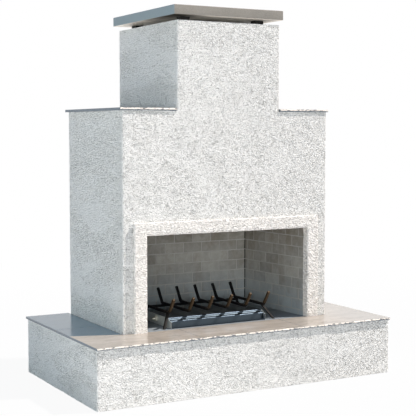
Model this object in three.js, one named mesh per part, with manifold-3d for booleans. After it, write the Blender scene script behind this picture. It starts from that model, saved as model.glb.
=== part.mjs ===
// Outdoor gas fireplace: a tiled hearth plinth, a stuccoed tower that narrows to a chimney at two tiled
// shoulders, a brick-lined firebox with a loose log grate over a stainless burner, and a slab cap on four
// short posts.
// Millimetres. +Z is up, the firebox faces -Y, and +X is on the right of someone who looks into the firebox.
// The origin is on the ground under the middle of the whole. Inside the groups, Y is counted from the
// plinth's stuccoed front and Z from the ground, unless a group says otherwise.
import * as THREE from "three";
import { mergeVertices } from "three/addons/utils/BufferGeometryUtils.js";
import Module from "manifold-3d";

const wasm = await Module();
wasm.setup();

// Clearances and working values
const seam = 0.3; // left between the faces of pieces that touch
const overrun = 5; // how far a cutting shape runs past what it cuts
const weld = 0.001; // vertices closer than this are one
const arcSteps = 4; // segments of a rounded corner in plan
const bendSteps = 4; // facets of a bent bar or sheet
const tubeFacets = 24; // round the burner's tube and fittings
const flueFacets = 32;

// Layers of the walls
const stuccoThickness = 14;
const boardThickness = 13;
const stuccoArris = 5; // radius of the stuccoed outer corners
const stuccoGroundGap = 2; // the coat stops just above the paving

// Steel angle of the inner frames
const angleLeg = 32;
const angleThickness = 3;

// Hearth plinth
const hearthWidth = 1727;
const hearthDepth = 964;
const hearthHeight = 293;

// Hearth tiles
const hearthTileThickness = 11.7;
const hearthTileFront = 10.5; // overhangs past the stucco
const hearthTileSide = 2;
const hearthTileBack = 24;
const tileJoint = 3;
const tileEase = 1; // eased edges
const frontJointSpread = 606; // between the two joints of the front row
const wingJoint = 533; // from the plinth's front to the joint across a wing

// Tower
const towerWidth = 1227;
const towerSetback = 252;
const towerBodyHeight = 1132; // from the plinth's top to the shoulders
const sideFrameWidth = 38;

// Shoulder tiles
const shoulderTileThickness = 13.5;
const shoulderTileFront = 6;
const shoulderTileSide = 10;
const shoulderTileBack = 25;

// Chimney
const chimneyWidth = 612;
const chimneyStack = 458; // from the shoulders to the chimney's top

// Cap and its posts
const capThickness = 50;
const capSide = 19; // overhangs past the chimney
const capFront = 7;
const capBack = 36;
const capEase = 2;
const postWidth = 50;
const postDepth = 50;
const postHeight = 26;
const postInsetSide = 58;
const postInsetFront = 68;
const postInsetBack = 44;

// Fire opening and the raised band round it
const jambWidth = 128.5; // from the opening to the tower's corner
const openingHeight = 490;
const surroundBand = 71;
const surroundHead = 68;
const surroundProud = 16.5;
const surroundReturn = 14;

// Firebox lining
const fireboxRearRoom = 153; // from the back panel's face to the tower's stuccoed back
const panelSplay = 51; // inward run of a side panel from front to back
const panelThickness = 32;
const cornerGap = 6; // open joint between the back panel and a side panel
const floorGap = 1; // round the floor slab
const shellThickness = 3;

// Brick pattern moulded in the lining panels
const brickPitch = 117.5;
const coursePitch = 58.4;
const firstCourse = 28.6; // a cut course stands on the floor
const mortarWidth = 5;
const mortarDepth = 2;
const backBrickShift = 22.5; // where the back panel's joints fall from its middle
const sideBrickShift = 40; // where a side panel's joints fall from its front end

// Smoke path
const domeHeight = 370;
const domeWall = 32;
const flueBore = 203;
const flueWall = 25;
const flueRise = 3; // how far the flue stands above the chimney

// Steel lintel behind the head of the opening
const lintelRise = 38;

// Log grate, loose on the firebox floor
const grateBars = 6;
const grateSideRoom = 198; // from a side of the opening to an outer bar, before the offset
const grateOffset = -39.5; // of its middle from the firebox's middle
const grateSetback = 28; // front bends behind the boards' backs
const grateRearRoom = 191; // from the back bends to the back panel
const grateHeight = 78; // middle of the bars above the floor
const grateBarWidth = 12.7;
const grateBendRadius = 16;
const fingerLength = 92;
const fingerLean = 35; // degrees off upright
const legSplay = 42; // outward run of a leg from its top to its foot
const frontLegRake = 46; // forward run of a front leg
const backLegRake = 27;
const crossBarInset = 15; // rear cross bar in front of the back bends
const legClearance = 2.2; // between a front leg and the burner pan

// Burner
const panInset = 2; // its ends inside the grate's outer bars, before the shift
const panShift = -8.5; // of its middle from the grate's middle
const panSetback = 19; // behind the tower's stuccoed face
const panLegRoom = 38.65; // from its back to the grate's rear legs
const panGrateRoom = 27; // from its top to the middle of the bars
const panSheet = 2;
const panLip = 21;
const panTrough = 12; // flat floor between the lip and the lower step
const panStepRun = 4; // run of each steep face
const panShelfRun = 18; // run of the gentle slope between the steep faces
const panShelfRise = 4;
const panStepShare = 0.72; // height of the lower step's edge, of the pan's height
const panHornShare = 0.7; // height of the end plates at the lip, of the pan's height
const panBend = 4;
const tubeDiameter = 19;
const tubeWall = 1.5;
const tubeSetbackShare = 0.575; // of the pan's depth, from its lip
const tubeHeightShare = 0.588; // of the pan's height
const tubeStickOut = 5;
const tubeHoleGap = 0.5; // round the tube where it enters the pan
const hexAcross = 27;
const hexSides = 6;
const hexLength = 9;
const nippleDiameter = 13;
const nippleLength = 12;
const nippleBore = 9;

// Colours and finishes
const finishes = {
  stucco: { color: "#e9e7e3", roughness: 0.95, metalness: 0 },
  trimStucco: { color: "#ece5d9", roughness: 0.95, metalness: 0 },
  tile: { color: "#bfb4a8", roughness: 0.35, metalness: 0 },
  capstone: { color: "#928c84", roughness: 0.8, metalness: 0 },
  brick: { color: "#8c8c88", roughness: 0.9, metalness: 0 },
  refractory: { color: "#8f8886", roughness: 0.9, metalness: 0 },
  cementBoard: { color: "#a5a5a0", roughness: 0.95, metalness: 0 },
  galvanised: { color: "#a9adb0", roughness: 0.45, metalness: 0.9 },
  blackSteel: { color: "#17150f", roughness: 0.6, metalness: 0.4 },
  stainless: { color: "#c3c7ca", roughness: 0.18, metalness: 1 },
  brass: { color: "#c9a45a", roughness: 0.3, metalness: 1 },
};
const materials = Object.fromEntries(
  Object.entries(finishes).map(([slot, finish]) => [
    slot,
    new THREE.MeshStandardMaterial({ name: slot, ...finish }),
  ]),
);

// Heights and planes that several pieces share
const coat = stuccoThickness + seam; // from a stuccoed face to its board
const skin = stuccoThickness + boardThickness; // from a stuccoed face to the frame side of its board
const deckBottom = hearthHeight - boardThickness;
const floorTop = hearthHeight + seam + hearthTileThickness;
const towerFoot = hearthHeight + seam;
const towerBack = hearthDepth;
const shoulderHeight = hearthHeight + towerBodyHeight;
const chimneyHeight = shoulderHeight + chimneyStack;
const shoulderBoardBottom = shoulderHeight - boardThickness;
const coverBottom = chimneyHeight - boardThickness;
const halfTower = towerWidth / 2;
const halfChimney = chimneyWidth / 2;
const halfHearth = hearthWidth / 2;
const halfOpening = halfTower - jambWidth;
const boardOpening = halfOpening + surroundReturn + seam; // half width of the hole in stucco and board
const openingTop = floorTop + openingHeight;
const boardOpeningTop = openingTop + surroundReturn + seam;
const fireboxFront = towerSetback + skin;
const fireboxBack = towerBack - fireboxRearRoom;
const fireboxDepth = fireboxBack - fireboxFront;
const splay = panelSplay / fireboxDepth; // inward run of a side panel per unit of depth
const sideFrameInside = halfTower - skin - seam - sideFrameWidth;
const flueY = (towerSetback + towerBack) / 2;
const domeFoot = boardOpeningTop;
const domeTop = domeFoot + domeHeight;

// The grate and the burner pan under it, seen from the grate's middle and the boards' backs
const halfBar = grateBarWidth / 2;
const grateSpread = halfOpening - grateSideRoom; // from the middle to an outer bar
const gratePitch = (2 * grateSpread) / (grateBars - 1);
const grateRun = fireboxDepth - grateSetback - grateRearRoom; // between the front and back bends
const crossBarY = grateRun - crossBarInset;
const underBars = grateHeight - halfBar - seam;
const halfPan = grateSpread - panInset;
const panHeight = grateHeight - panGrateRoom;
const panFront = towerSetback + panSetback;
const panDepth = fireboxFront + grateSetback + crossBarY - halfBar - panLegRoom - panFront;

// Solid modelling helpers

function solidFrom(geometry) {
  const loose = geometry.index ? geometry.toNonIndexed() : geometry;
  const bare = new THREE.BufferGeometry();
  bare.setAttribute("position", loose.getAttribute("position"));
  const merged = mergeVertices(bare, weld);
  return new wasm.Manifold(
    new wasm.Mesh({
      numProp: 3,
      vertProperties: merged.getAttribute("position").array,
      triVerts: new Uint32Array(merged.index.array),
    }),
  );
}

function geometryFrom(solid) {
  const { vertProperties, triVerts } = solid.getMesh();
  const geometry = new THREE.BufferGeometry();
  geometry.setAttribute("position", new THREE.BufferAttribute(vertProperties, 3));
  geometry.setIndex(new THREE.BufferAttribute(triVerts, 1));
  const faceted = geometry.toNonIndexed();
  faceted.computeVertexNormals();
  return faceted;
}

function cut(body, ...tools) {
  return geometryFrom(tools.reduce((rest, tool) => rest.subtract(solidFrom(tool)), solidFrom(body)));
}

function join(...bodies) {
  const [first, ...rest] = bodies.map(solidFrom);
  return geometryFrom(rest.reduce((whole, next) => whole.add(next), first));
}

// A block given by its span along each axis.
function block([x0, x1], [y0, y1], [z0, z1]) {
  const geometry = new THREE.BoxGeometry(x1 - x0, y1 - y0, z1 - z0);
  return geometry.translate((x0 + x1) / 2, (y0 + y1) / 2, (z0 + z1) / 2);
}

function outline(points) {
  return new THREE.Shape(points.map(([u, v]) => new THREE.Vector2(u, v)));
}

function rectangle([u0, u1], [v0, v1]) {
  return outline([
    [u0, v0],
    [u1, v0],
    [u1, v1],
    [u0, v1],
  ]);
}

function roundedRectangle([u0, u1], [v0, v1], radius) {
  const shape = new THREE.Shape();
  shape.moveTo(u0 + radius, v0);
  shape.lineTo(u1 - radius, v0);
  shape.absarc(u1 - radius, v0 + radius, radius, -Math.PI / 2, 0);
  shape.lineTo(u1, v1 - radius);
  shape.absarc(u1 - radius, v1 - radius, radius, 0, Math.PI / 2);
  shape.lineTo(u0 + radius, v1);
  shape.absarc(u0 + radius, v1 - radius, radius, Math.PI / 2, Math.PI);
  shape.lineTo(u0, v0 + radius);
  shape.absarc(u0 + radius, v0 + radius, radius, Math.PI, 1.5 * Math.PI);
  return shape;
}

function rectangleHole([u0, u1], [v0, v1]) {
  const hole = new THREE.Path();
  hole.moveTo(u0, v0);
  hole.lineTo(u0, v1);
  hole.lineTo(u1, v1);
  hole.lineTo(u1, v0);
  hole.closePath();
  return hole;
}

const toX = new THREE.Vector3(1, 0, 0);
const toY = new THREE.Vector3(0, 1, 0);
const toZ = new THREE.Vector3(0, 0, 1);

function extrude(shape, length, ease = 0) {
  return new THREE.ExtrudeGeometry(shape, {
    depth: length - 2 * ease,
    curveSegments: arcSteps,
    bevelEnabled: ease > 0,
    bevelSegments: 1,
    bevelSize: ease,
    bevelThickness: ease,
    bevelOffset: -ease,
  }).translate(0, 0, ease);
}

// A plan outline in X and Y, raised from one height to another.
function raise(shape, [z0, z1], ease = 0) {
  return extrude(shape, z1 - z0, ease).translate(0, 0, z0);
}

// A section outline in Y and Z, run along X.
function runAcross(shape, [x0, x1]) {
  const turn = new THREE.Matrix4().makeBasis(toY, toZ, toX);
  return extrude(shape, x1 - x0)
    .applyMatrix4(turn)
    .translate(x0, 0, 0);
}

// The closed outline of a strip of one width along a line of points, with mitred corners.
function strip(points, width) {
  const line = points.map(([u, v]) => new THREE.Vector2(u, v));
  const side = (a, b) => {
    const along = b.clone().sub(a).normalize();
    return new THREE.Vector2(-along.y, along.x);
  };
  const offsets = line.map((point, i) => {
    const before = side(line[Math.max(i - 1, 0)], line[Math.max(i, 1)]);
    const after = side(line[Math.min(i, line.length - 2)], line[Math.min(i + 1, line.length - 1)]);
    const mitre = before.clone().add(after).normalize();
    return mitre.multiplyScalar(width / 2 / mitre.dot(after));
  });
  const left = line.map((point, i) => point.clone().add(offsets[i]));
  const right = line.map((point, i) => point.clone().sub(offsets[i]));
  return new THREE.Shape([...right, ...left.reverse()]);
}

// The same line with its inner corners rounded by arcs.
function bend(points, radius) {
  const line = points.map(([u, v]) => new THREE.Vector2(u, v));
  const rounded = [points[0]];
  for (let i = 1; i < line.length - 1; i++) {
    const corner = line[i];
    const back = line[i - 1].clone().sub(corner).normalize();
    const on = line[i + 1].clone().sub(corner).normalize();
    const half = back.angleTo(on) / 2;
    const tangent = radius / Math.tan(half);
    const inward = back.clone().add(on).normalize();
    const centre = corner.clone().add(inward.multiplyScalar(radius / Math.sin(half)));
    const start = corner.clone().add(back.multiplyScalar(tangent));
    const end = corner.clone().add(on.multiplyScalar(tangent));
    const from = start.clone().sub(centre);
    const sweep = from.angleTo(end.clone().sub(centre)) * Math.sign(from.cross(end.clone().sub(centre)));
    for (let k = 0; k <= bendSteps; k++) {
      const point = from.clone().rotateAround(new THREE.Vector2(), (sweep * k) / bendSteps).add(centre);
      rounded.push([point.x, point.y]);
    }
  }
  rounded.push(points[points.length - 1]);
  return rounded;
}

// A skin through closed rings of equal counts, which ends where it began.
function loopedLoft(rings) {
  const count = rings[0].length;
  const positions = [];
  rings.forEach((ring, r) => {
    const next = rings[(r + 1) % rings.length];
    for (let i = 0; i < count; i++) {
      const j = (i + 1) % count;
      positions.push(ring[i], ring[j], next[j], ring[i], next[j], next[i]);
    }
  });
  const geometry = new THREE.BufferGeometry().setFromPoints(positions);
  geometry.computeVertexNormals();
  return geometry;
}

// A welded frame of steel angle: a box shell with windows cut right through it, so that an angle stays along
// each edge and flat bars stand between the windows. An axis with no bays has a closed channel across it.
function angleFrame(spans, bays) {
  const hollow = spans.map(([low, high]) => [low + angleThickness, high - angleThickness]);
  const windows = spans.map(([low, high], axis) => {
    const pitch = (high - low - angleLeg) / bays[axis];
    return Array.from({ length: bays[axis] }, (_, i) => {
      const start = low + angleLeg + i * pitch;
      return [start, start + pitch - angleLeg];
    });
  });
  const tools = [block(...hollow)];
  spans.forEach(([low, high], axis) => {
    const [first, second] = [0, 1, 2].filter((other) => other !== axis);
    for (const a of windows[first])
      for (const b of windows[second]) {
        const reach = [];
        reach[axis] = [low - overrun, high + overrun];
        reach[first] = a;
        reach[second] = b;
        tools.push(block(...reach));
      }
  });
  return cut(block(...spans), ...tools);
}

function piece(name, geometry, slot) {
  const mesh = new THREE.Mesh(geometry, materials[slot]);
  mesh.name = name;
  return mesh;
}

function assembly(...pieces) {
  const group = new THREE.Group();
  group.add(...pieces);
  return group;
}

// The same pieces on both hands: make(side, word) gets -1 and "left", then 1 and "right".
function bothSides(make) {
  return [
    [-1, "left"],
    [1, "right"],
  ].flatMap(([side, word]) => make(side, word));
}

// A span on one side of the middle, given by its distances from the middle.
function spanOn(side, near, far) {
  return side < 0 ? [-far, -near] : [near, far];
}

// Hearth plinth: angle frame, cement boards, deck and one coat of stucco round it

function hearthPlinth() {
  const boardFace = halfHearth - coat;
  const boardBack = halfHearth - skin;
  const sides = [stuccoThickness + seam, hearthDepth - coat];
  const inner = [skin + seam, hearthDepth - skin - seam];
  const boardRise = [0, deckBottom - seam];
  const board = (word, across, along) =>
    piece("hearth_board_" + word, block(across, along, boardRise), "cementBoard");
  const frame = angleFrame([[-boardBack + seam, boardBack - seam], inner, boardRise], [3, 2, 1]);
  const coatPlan = roundedRectangle([-halfHearth, halfHearth], [0, hearthDepth], stuccoArris);
  coatPlan.holes.push(
    rectangleHole(
      [-halfHearth + stuccoThickness, halfHearth - stuccoThickness],
      [stuccoThickness, hearthDepth - stuccoThickness],
    ),
  );
  return assembly(
    piece("hearth_frame", frame, "galvanised"),
    board("front", [-boardFace, boardFace], [sides[0], skin]),
    board("back", [-boardFace, boardFace], [hearthDepth - skin, sides[1]]),
    ...bothSides((side, word) => board(word, spanOn(side, boardBack, boardFace), inner)),
    piece("hearth_deck", block([-boardFace, boardFace], sides, [deckBottom, hearthHeight]), "cementBoard"),
    piece("hearth_stucco", raise(coatPlan, [stuccoGroundGap, hearthHeight]), "stucco"),
  );
}

// Hearth tiles: three across the front, of which the outer two run on round the tower, and one behind on
// each wing

function hearthTiles() {
  const rise = [towerFoot, floorTop];
  const outer = halfHearth + hearthTileSide;
  const wing = halfTower + tileJoint;
  const halfFront = frontJointSpread / 2;
  const half = tileJoint / 2;
  const rowBack = towerSetback - tileJoint;
  const centre = rectangle([-halfFront + half, halfFront - half], [-hearthTileFront, rowBack]);
  return assembly(
    piece("hearth_tile_front_centre", raise(centre, rise, tileEase), "tile"),
    ...bothSides((side, word) => {
      const corner = [
        [side * (halfFront + half), -hearthTileFront],
        [side * outer, -hearthTileFront],
        [side * outer, wingJoint - half],
        [side * wing, wingJoint - half],
        [side * wing, rowBack],
        [side * (halfFront + half), rowBack],
      ];
      const rear = rectangle(spanOn(side, wing, outer), [wingJoint + half, hearthDepth + hearthTileBack]);
      return [
        piece("hearth_tile_front_" + word, raise(outline(corner), rise, tileEase), "tile"),
        piece("hearth_tile_rear_" + word, raise(rear, rise, tileEase), "tile"),
      ];
    }),
  );
}

// Tower frame: a flat frame in each side wall, the chimney's frame on two rails between them, and the lintel

function towerFrame() {
  const depth = [fireboxFront + seam, towerBack - skin - seam];
  const frameFace = halfTower - skin - seam;
  const railBottom = shoulderBoardBottom - seam - angleLeg;
  const chimneyFace = halfChimney - skin - seam;
  const chimneyRise = [railBottom, coverBottom - seam];
  const railSpan = [-sideFrameInside + seam, sideFrameInside - seam];
  const rail = (corner, inward) =>
    outline([
      [corner, railBottom],
      [corner + inward * angleLeg, railBottom],
      [corner + inward * angleLeg, railBottom + angleThickness],
      [corner + inward * angleThickness, railBottom + angleThickness],
      [corner + inward * angleThickness, railBottom + angleLeg],
      [corner, railBottom + angleLeg],
    ]);
  const chimney = join(
    angleFrame([[-chimneyFace, chimneyFace], depth, chimneyRise], [1, 1, 2]),
    runAcross(rail(depth[0], 1), railSpan),
    runAcross(rail(depth[1], -1), railSpan),
  );
  const lintelFront = towerSetback + coat;
  const lintelBack = fireboxFront + seam + angleThickness;
  const lintel = outline([
    [lintelFront, boardOpeningTop],
    [lintelBack, boardOpeningTop],
    [lintelBack, boardOpeningTop + lintelRise],
    [lintelBack - angleThickness, boardOpeningTop + lintelRise],
    [lintelBack - angleThickness, boardOpeningTop + angleThickness],
    [lintelFront, boardOpeningTop + angleThickness],
  ]);
  const sideRise = [towerFoot, shoulderBoardBottom - seam];
  return assembly(
    ...bothSides((side, word) => {
      const spans = [spanOn(side, sideFrameInside, frameFace), depth, sideRise];
      return piece("side_frame_" + word, angleFrame(spans, [0, 1, 3]), "galvanised");
    }),
    piece("chimney_frame", chimney, "galvanised"),
    piece("lintel_angle", runAcross(lintel, railSpan), "galvanised"),
  );
}

// Tower boards: the sheathing that the stucco is laid on

function towerBoards() {
  const face = halfTower - coat;
  const back = halfTower - skin;
  const chimneyFace = halfChimney - coat;
  const chimneyInside = halfChimney - skin;
  const frontLayer = [towerSetback + coat, fireboxFront];
  const backLayer = [towerBack - skin, towerBack - coat];
  const between = [fireboxFront + seam, towerBack - skin - seam];
  const bodyTop = shoulderBoardBottom - seam;
  const shoulderDepth = [towerSetback + coat, towerBack - coat];
  const chimneyRise = [shoulderBoardBottom, coverBottom - seam];
  const jambTop = boardOpeningTop - seam;
  const headerFoot = boardOpeningTop + angleThickness + seam;
  const board = (name, ...spans) => piece(name, block(...spans), "cementBoard");
  return assembly(
    board("header_board", [-face, face], frontLayer, [headerFoot, bodyTop]),
    board("back_board", [-face, face], backLayer, [towerFoot, bodyTop]),
    board("chimney_board_front", [-chimneyFace, chimneyFace], frontLayer, chimneyRise),
    board("chimney_board_back", [-chimneyFace, chimneyFace], backLayer, chimneyRise),
    ...bothSides((side, word) => [
      board("jamb_board_" + word, spanOn(side, boardOpening, face), frontLayer, [towerFoot, jambTop]),
      board("side_board_" + word, spanOn(side, back, face), between, [towerFoot, bodyTop]),
      board("shoulder_board_" + word, spanOn(side, halfChimney + seam, face), shoulderDepth, [
        shoulderBoardBottom,
        shoulderHeight,
      ]),
      board("chimney_board_" + word, spanOn(side, chimneyInside, chimneyFace), between, chimneyRise),
    ]),
  );
}

// Tower stucco: one coat over body and chimney, whose fronts are flush, with the hole of the fire opening

function towerStucco() {
  const wall = (halfWidth, rise) => {
    const plan = roundedRectangle([-halfWidth, halfWidth], [towerSetback, towerBack], stuccoArris);
    const inside = halfWidth - stuccoThickness;
    plan.holes.push(
      rectangleHole([-inside, inside], [towerSetback + stuccoThickness, towerBack - stuccoThickness]),
    );
    return raise(plan, rise);
  };
  const opening = block(
    [-boardOpening, boardOpening],
    [towerSetback - overrun, towerSetback + stuccoThickness + overrun],
    [towerFoot - overrun, boardOpeningTop],
  );
  const whole = join(
    wall(halfTower, [towerFoot, shoulderHeight]),
    wall(halfChimney, [shoulderBoardBottom, chimneyHeight]),
  );
  return piece("tower_stucco", cut(whole, opening), "stucco");
}

// Surround: a raised stucco band round the fire opening, whose inner edge returns to the firebox

function fireboxSurround() {
  const foot = floorTop + seam;
  const bandOutside = halfOpening + surroundBand;
  const bandTop = openingTop + surroundHead;
  const returnOutside = halfOpening + surroundReturn;
  const arch = (outside, top) =>
    outline([
      [-outside, foot],
      [-halfOpening, foot],
      [-halfOpening, openingTop],
      [halfOpening, openingTop],
      [halfOpening, foot],
      [outside, foot],
      [outside, top],
      [-outside, top],
    ]);
  const upright = new THREE.Matrix4().makeBasis(toX, toZ, toY.clone().negate());
  const stand = (shape, [y0, y1]) =>
    extrude(shape, y1 - y0)
      .applyMatrix4(upright)
      .translate(0, y1, 0);
  const band = stand(arch(bandOutside, bandTop), [towerSetback - surroundProud, towerSetback - seam]);
  const lining = stand(arch(returnOutside, openingTop + surroundReturn), [
    towerSetback - surroundProud,
    fireboxFront,
  ]);
  return piece("firebox_surround", join(band, lining), "trimStucco");
}

function shoulderTiles() {
  const rise = [shoulderHeight + seam, shoulderHeight + seam + shoulderTileThickness];
  const depth = [towerSetback - shoulderTileFront, towerBack + shoulderTileBack];
  return assembly(
    ...bothSides((side, word) => {
      const across = spanOn(side, halfChimney + tileJoint, halfTower + shoulderTileSide);
      return piece("shoulder_tile_" + word, raise(rectangle(across, depth), rise, tileEase), "tile");
    }),
  );
}

// Chimney top: a cover with the flue's hole, four posts on it and the cap slab on them

function chimneyTop() {
  const face = halfChimney - coat;
  const cover = rectangle([-face, face], [towerSetback + coat, towerBack - coat]);
  const flueHole = new THREE.Path();
  flueHole.absarc(0, flueY, flueBore / 2 + flueWall + seam, 0, 2 * Math.PI);
  cover.holes.push(flueHole);
  const coverPlate = new THREE.ExtrudeGeometry(cover, {
    depth: chimneyHeight - coverBottom,
    curveSegments: flueFacets / 2,
    bevelEnabled: false,
  }).translate(0, 0, coverBottom);
  const slabFoot = chimneyHeight + postHeight;
  const slab = rectangle(
    [-halfChimney - capSide, halfChimney + capSide],
    [towerSetback - capFront, towerBack + capBack],
  );
  const post = new THREE.BoxGeometry(postWidth, postDepth, postHeight - 2 * seam);
  const postX = halfChimney - postInsetSide - postWidth / 2;
  const rows = [
    ["front", towerSetback + postInsetFront + postDepth / 2],
    ["back", towerBack - postInsetBack - postDepth / 2],
  ];
  const posts = rows.flatMap(([row, y]) =>
    bothSides((side, word) => {
      const mesh = piece("cap_post_" + row + "_" + word, post, "blackSteel");
      mesh.position.set(side * postX, y, chimneyHeight + postHeight / 2);
      return mesh;
    }),
  );
  return assembly(
    piece("chimney_cover", coverPlate, "galvanised"),
    ...posts,
    piece("cap_slab", raise(slab, [slabFoot, slabFoot + capThickness], capEase), "capstone"),
  );
}

// Firebox lining panels: refractory slabs with a running-bond brick pattern moulded in their faces

// The spans of the bricks along one course, cut where the panel ends.
function courseSpans(start, end, jointAt) {
  const spans = [];
  const first = jointAt - Math.ceil((jointAt - start) / brickPitch) * brickPitch;
  for (let joint = first; joint < end; joint += brickPitch) {
    const low = Math.max(start, joint + mortarWidth / 2);
    const high = Math.min(end, joint + brickPitch - mortarWidth / 2);
    if (high - low > mortarWidth) spans.push([low, high]);
  }
  return spans;
}

// A panel whose length runs along X and whose bricks face -Y at y = 0.
function brickPanel([start, end], [foot, top], jointShift) {
  const bed = block([start, end], [mortarDepth, panelThickness], [foot, top]);
  const courses = Math.ceil((top - floorTop - firstCourse) / coursePitch);
  const bricks = [];
  for (let course = -1; course < courses; course++) {
    const low = course < 0 ? foot : floorTop + firstCourse + course * coursePitch + mortarWidth / 2;
    const nextJoint = floorTop + firstCourse + (course + 1) * coursePitch;
    const high = Math.min(top, nextJoint - mortarWidth / 2);
    const jointAt = jointShift + (course % 2 === 0 ? brickPitch / 2 : 0);
    if (high - low > mortarWidth)
      for (const span of courseSpans(start, end, jointAt))
        bricks.push(block(span, [0, 2 * mortarDepth], [low, high]));
  }
  return join(bed, ...bricks);
}

function fireboxLining() {
  const panelTop = boardOpeningTop - seam;
  const rise = [towerFoot, panelTop];
  const halfBack = halfOpening - panelSplay - cornerGap;
  const back = brickPanel([-halfBack, halfBack], rise, backBrickShift).translate(0, fireboxBack, 0);
  const length = fireboxDepth + panelThickness - seam;
  // Each side panel is laid out flat, turned to face the middle, and then slanted in plan to the splay.
  const sidePanel = (side) => {
    const flat = brickPanel(side < 0 ? [-length, 0] : [0, length], rise, side * sideBrickShift);
    const facing = new THREE.Matrix4().makeRotationZ((side * Math.PI) / 2);
    const slant = new THREE.Matrix4().makeBasis(toX, new THREE.Vector3(-side * splay, 1, 0), toZ);
    const turned = flat.applyMatrix4(facing);
    turned.scale(-1, 1, 1);
    return mirrored(turned).applyMatrix4(slant).translate(side * halfOpening, fireboxFront + seam, 0);
  };
  const frontHalf = halfOpening + surroundReturn - seam;
  const clear = floorGap + splay * seam;
  const floorHalf = (y) => halfOpening - splay * (y - fireboxFront) - clear;
  const sill = fireboxFront - seam; // where the floor narrows behind the surround's return
  const floorBack = fireboxBack - floorGap;
  const floorPlan = outline([
    [-frontHalf, towerSetback],
    [frontHalf, towerSetback],
    [frontHalf, sill],
    [floorHalf(sill), sill],
    [floorHalf(floorBack), floorBack],
    [-floorHalf(floorBack), floorBack],
    [-floorHalf(sill), sill],
    [-frontHalf, sill],
  ]);
  return assembly(
    piece("brick_panel_back", back, "brick"),
    ...bothSides((side, word) => piece("brick_panel_" + word, sidePanel(side), "brick")),
    piece("firebox_floor", raise(floorPlan, [towerFoot, floorTop]), "refractory"),
  );
}

// Turns the faces of a mirrored geometry outwards again.
function mirrored(geometry) {
  const loose = geometry.index ? geometry.toNonIndexed() : geometry;
  const position = loose.getAttribute("position");
  for (let i = 0; i < position.count; i += 3) {
    const second = new THREE.Vector3().fromBufferAttribute(position, i + 1);
    const third = new THREE.Vector3().fromBufferAttribute(position, i + 2);
    position.setXYZ(i + 1, third.x, third.y, third.z);
    position.setXYZ(i + 2, second.x, second.y, second.z);
  }
  loose.computeVertexNormals();
  return loose;
}

// Steel shell behind the panels, with flanges that reach the side frames
function fireboxShell() {
  const half = shellThickness / 2;
  const front = fireboxFront + seam + half;
  const back = fireboxBack + panelThickness + seam + half;
  const wallAt = (y) => halfOpening + panelThickness + 2 * seam + half - splay * (y - fireboxFront);
  const flangeEnd = sideFrameInside - seam;
  const line = [
    [-flangeEnd, front],
    [-wallAt(front), front],
    [-wallAt(back), back],
    [wallAt(back), back],
    [wallAt(front), front],
    [flangeEnd, front],
  ];
  const shell = raise(strip(line, shellThickness), [towerFoot, boardOpeningTop - seam]);
  return piece("firebox_shell", shell, "galvanised");
}

// Smoke dome: a precast hood that gathers the firebox's plan into the flue's circle, and the insulated flue
// above it

function smokePath() {
  const perSide = flueFacets / 4;
  const ringOf = (place) =>
    Array.from({ length: flueFacets }, (_, i) => place(Math.floor(i / perSide), (i % perSide) / perSide));
  const footRing = (frontHalf, frontY, backHalf, backY) => {
    const corners = [
      [-frontHalf, frontY],
      [frontHalf, frontY],
      [backHalf, backY],
      [-backHalf, backY],
    ];
    return ringOf((edge, share) => {
      const [x0, y0] = corners[edge];
      const [x1, y1] = corners[(edge + 1) % corners.length];
      return new THREE.Vector3(x0 + (x1 - x0) * share, y0 + (y1 - y0) * share, domeFoot);
    });
  };
  const throatRing = (radius) =>
    ringOf((edge, share) => {
      const angle = ((edge + share) * Math.PI) / 2 - 0.75 * Math.PI;
      return new THREE.Vector3(radius * Math.cos(angle), flueY + radius * Math.sin(angle), domeTop);
    });
  const outsideFront = fireboxFront + angleThickness + 2 * seam;
  const outsideBack = fireboxBack + panelThickness;
  const insideFront = outsideFront + domeWall;
  const halfAt = (y) => halfOpening - splay * (y - fireboxFront);
  const dome = loopedLoft([
    footRing(halfAt(outsideFront) + domeWall, outsideFront, halfAt(outsideBack) + domeWall, outsideBack),
    throatRing(flueBore / 2 + flueWall),
    throatRing(flueBore / 2),
    footRing(halfAt(insideFront), insideFront, halfAt(fireboxBack), fireboxBack),
  ]);
  const flueFoot = domeTop + seam;
  const flueTop = chimneyHeight + flueRise;
  const section = [
    [flueBore / 2, flueFoot],
    [flueBore / 2 + flueWall, flueFoot],
    [flueBore / 2 + flueWall, flueTop],
    [flueBore / 2, flueTop],
    [flueBore / 2, flueFoot],
  ].map(([r, z]) => new THREE.Vector2(r, z));
  const flue = new THREE.LatheGeometry(section, flueFacets).rotateX(Math.PI / 2);
  return assembly(
    piece("smoke_dome", dome, "refractory"),
    piece("flue_pipe", flue.translate(0, flueY, 0), "galvanised"),
  );
}

// Log grate: bent bars on one cross bar and four raked legs. Its group stands on the firebox floor with Y from
// the boards' backs.

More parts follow.
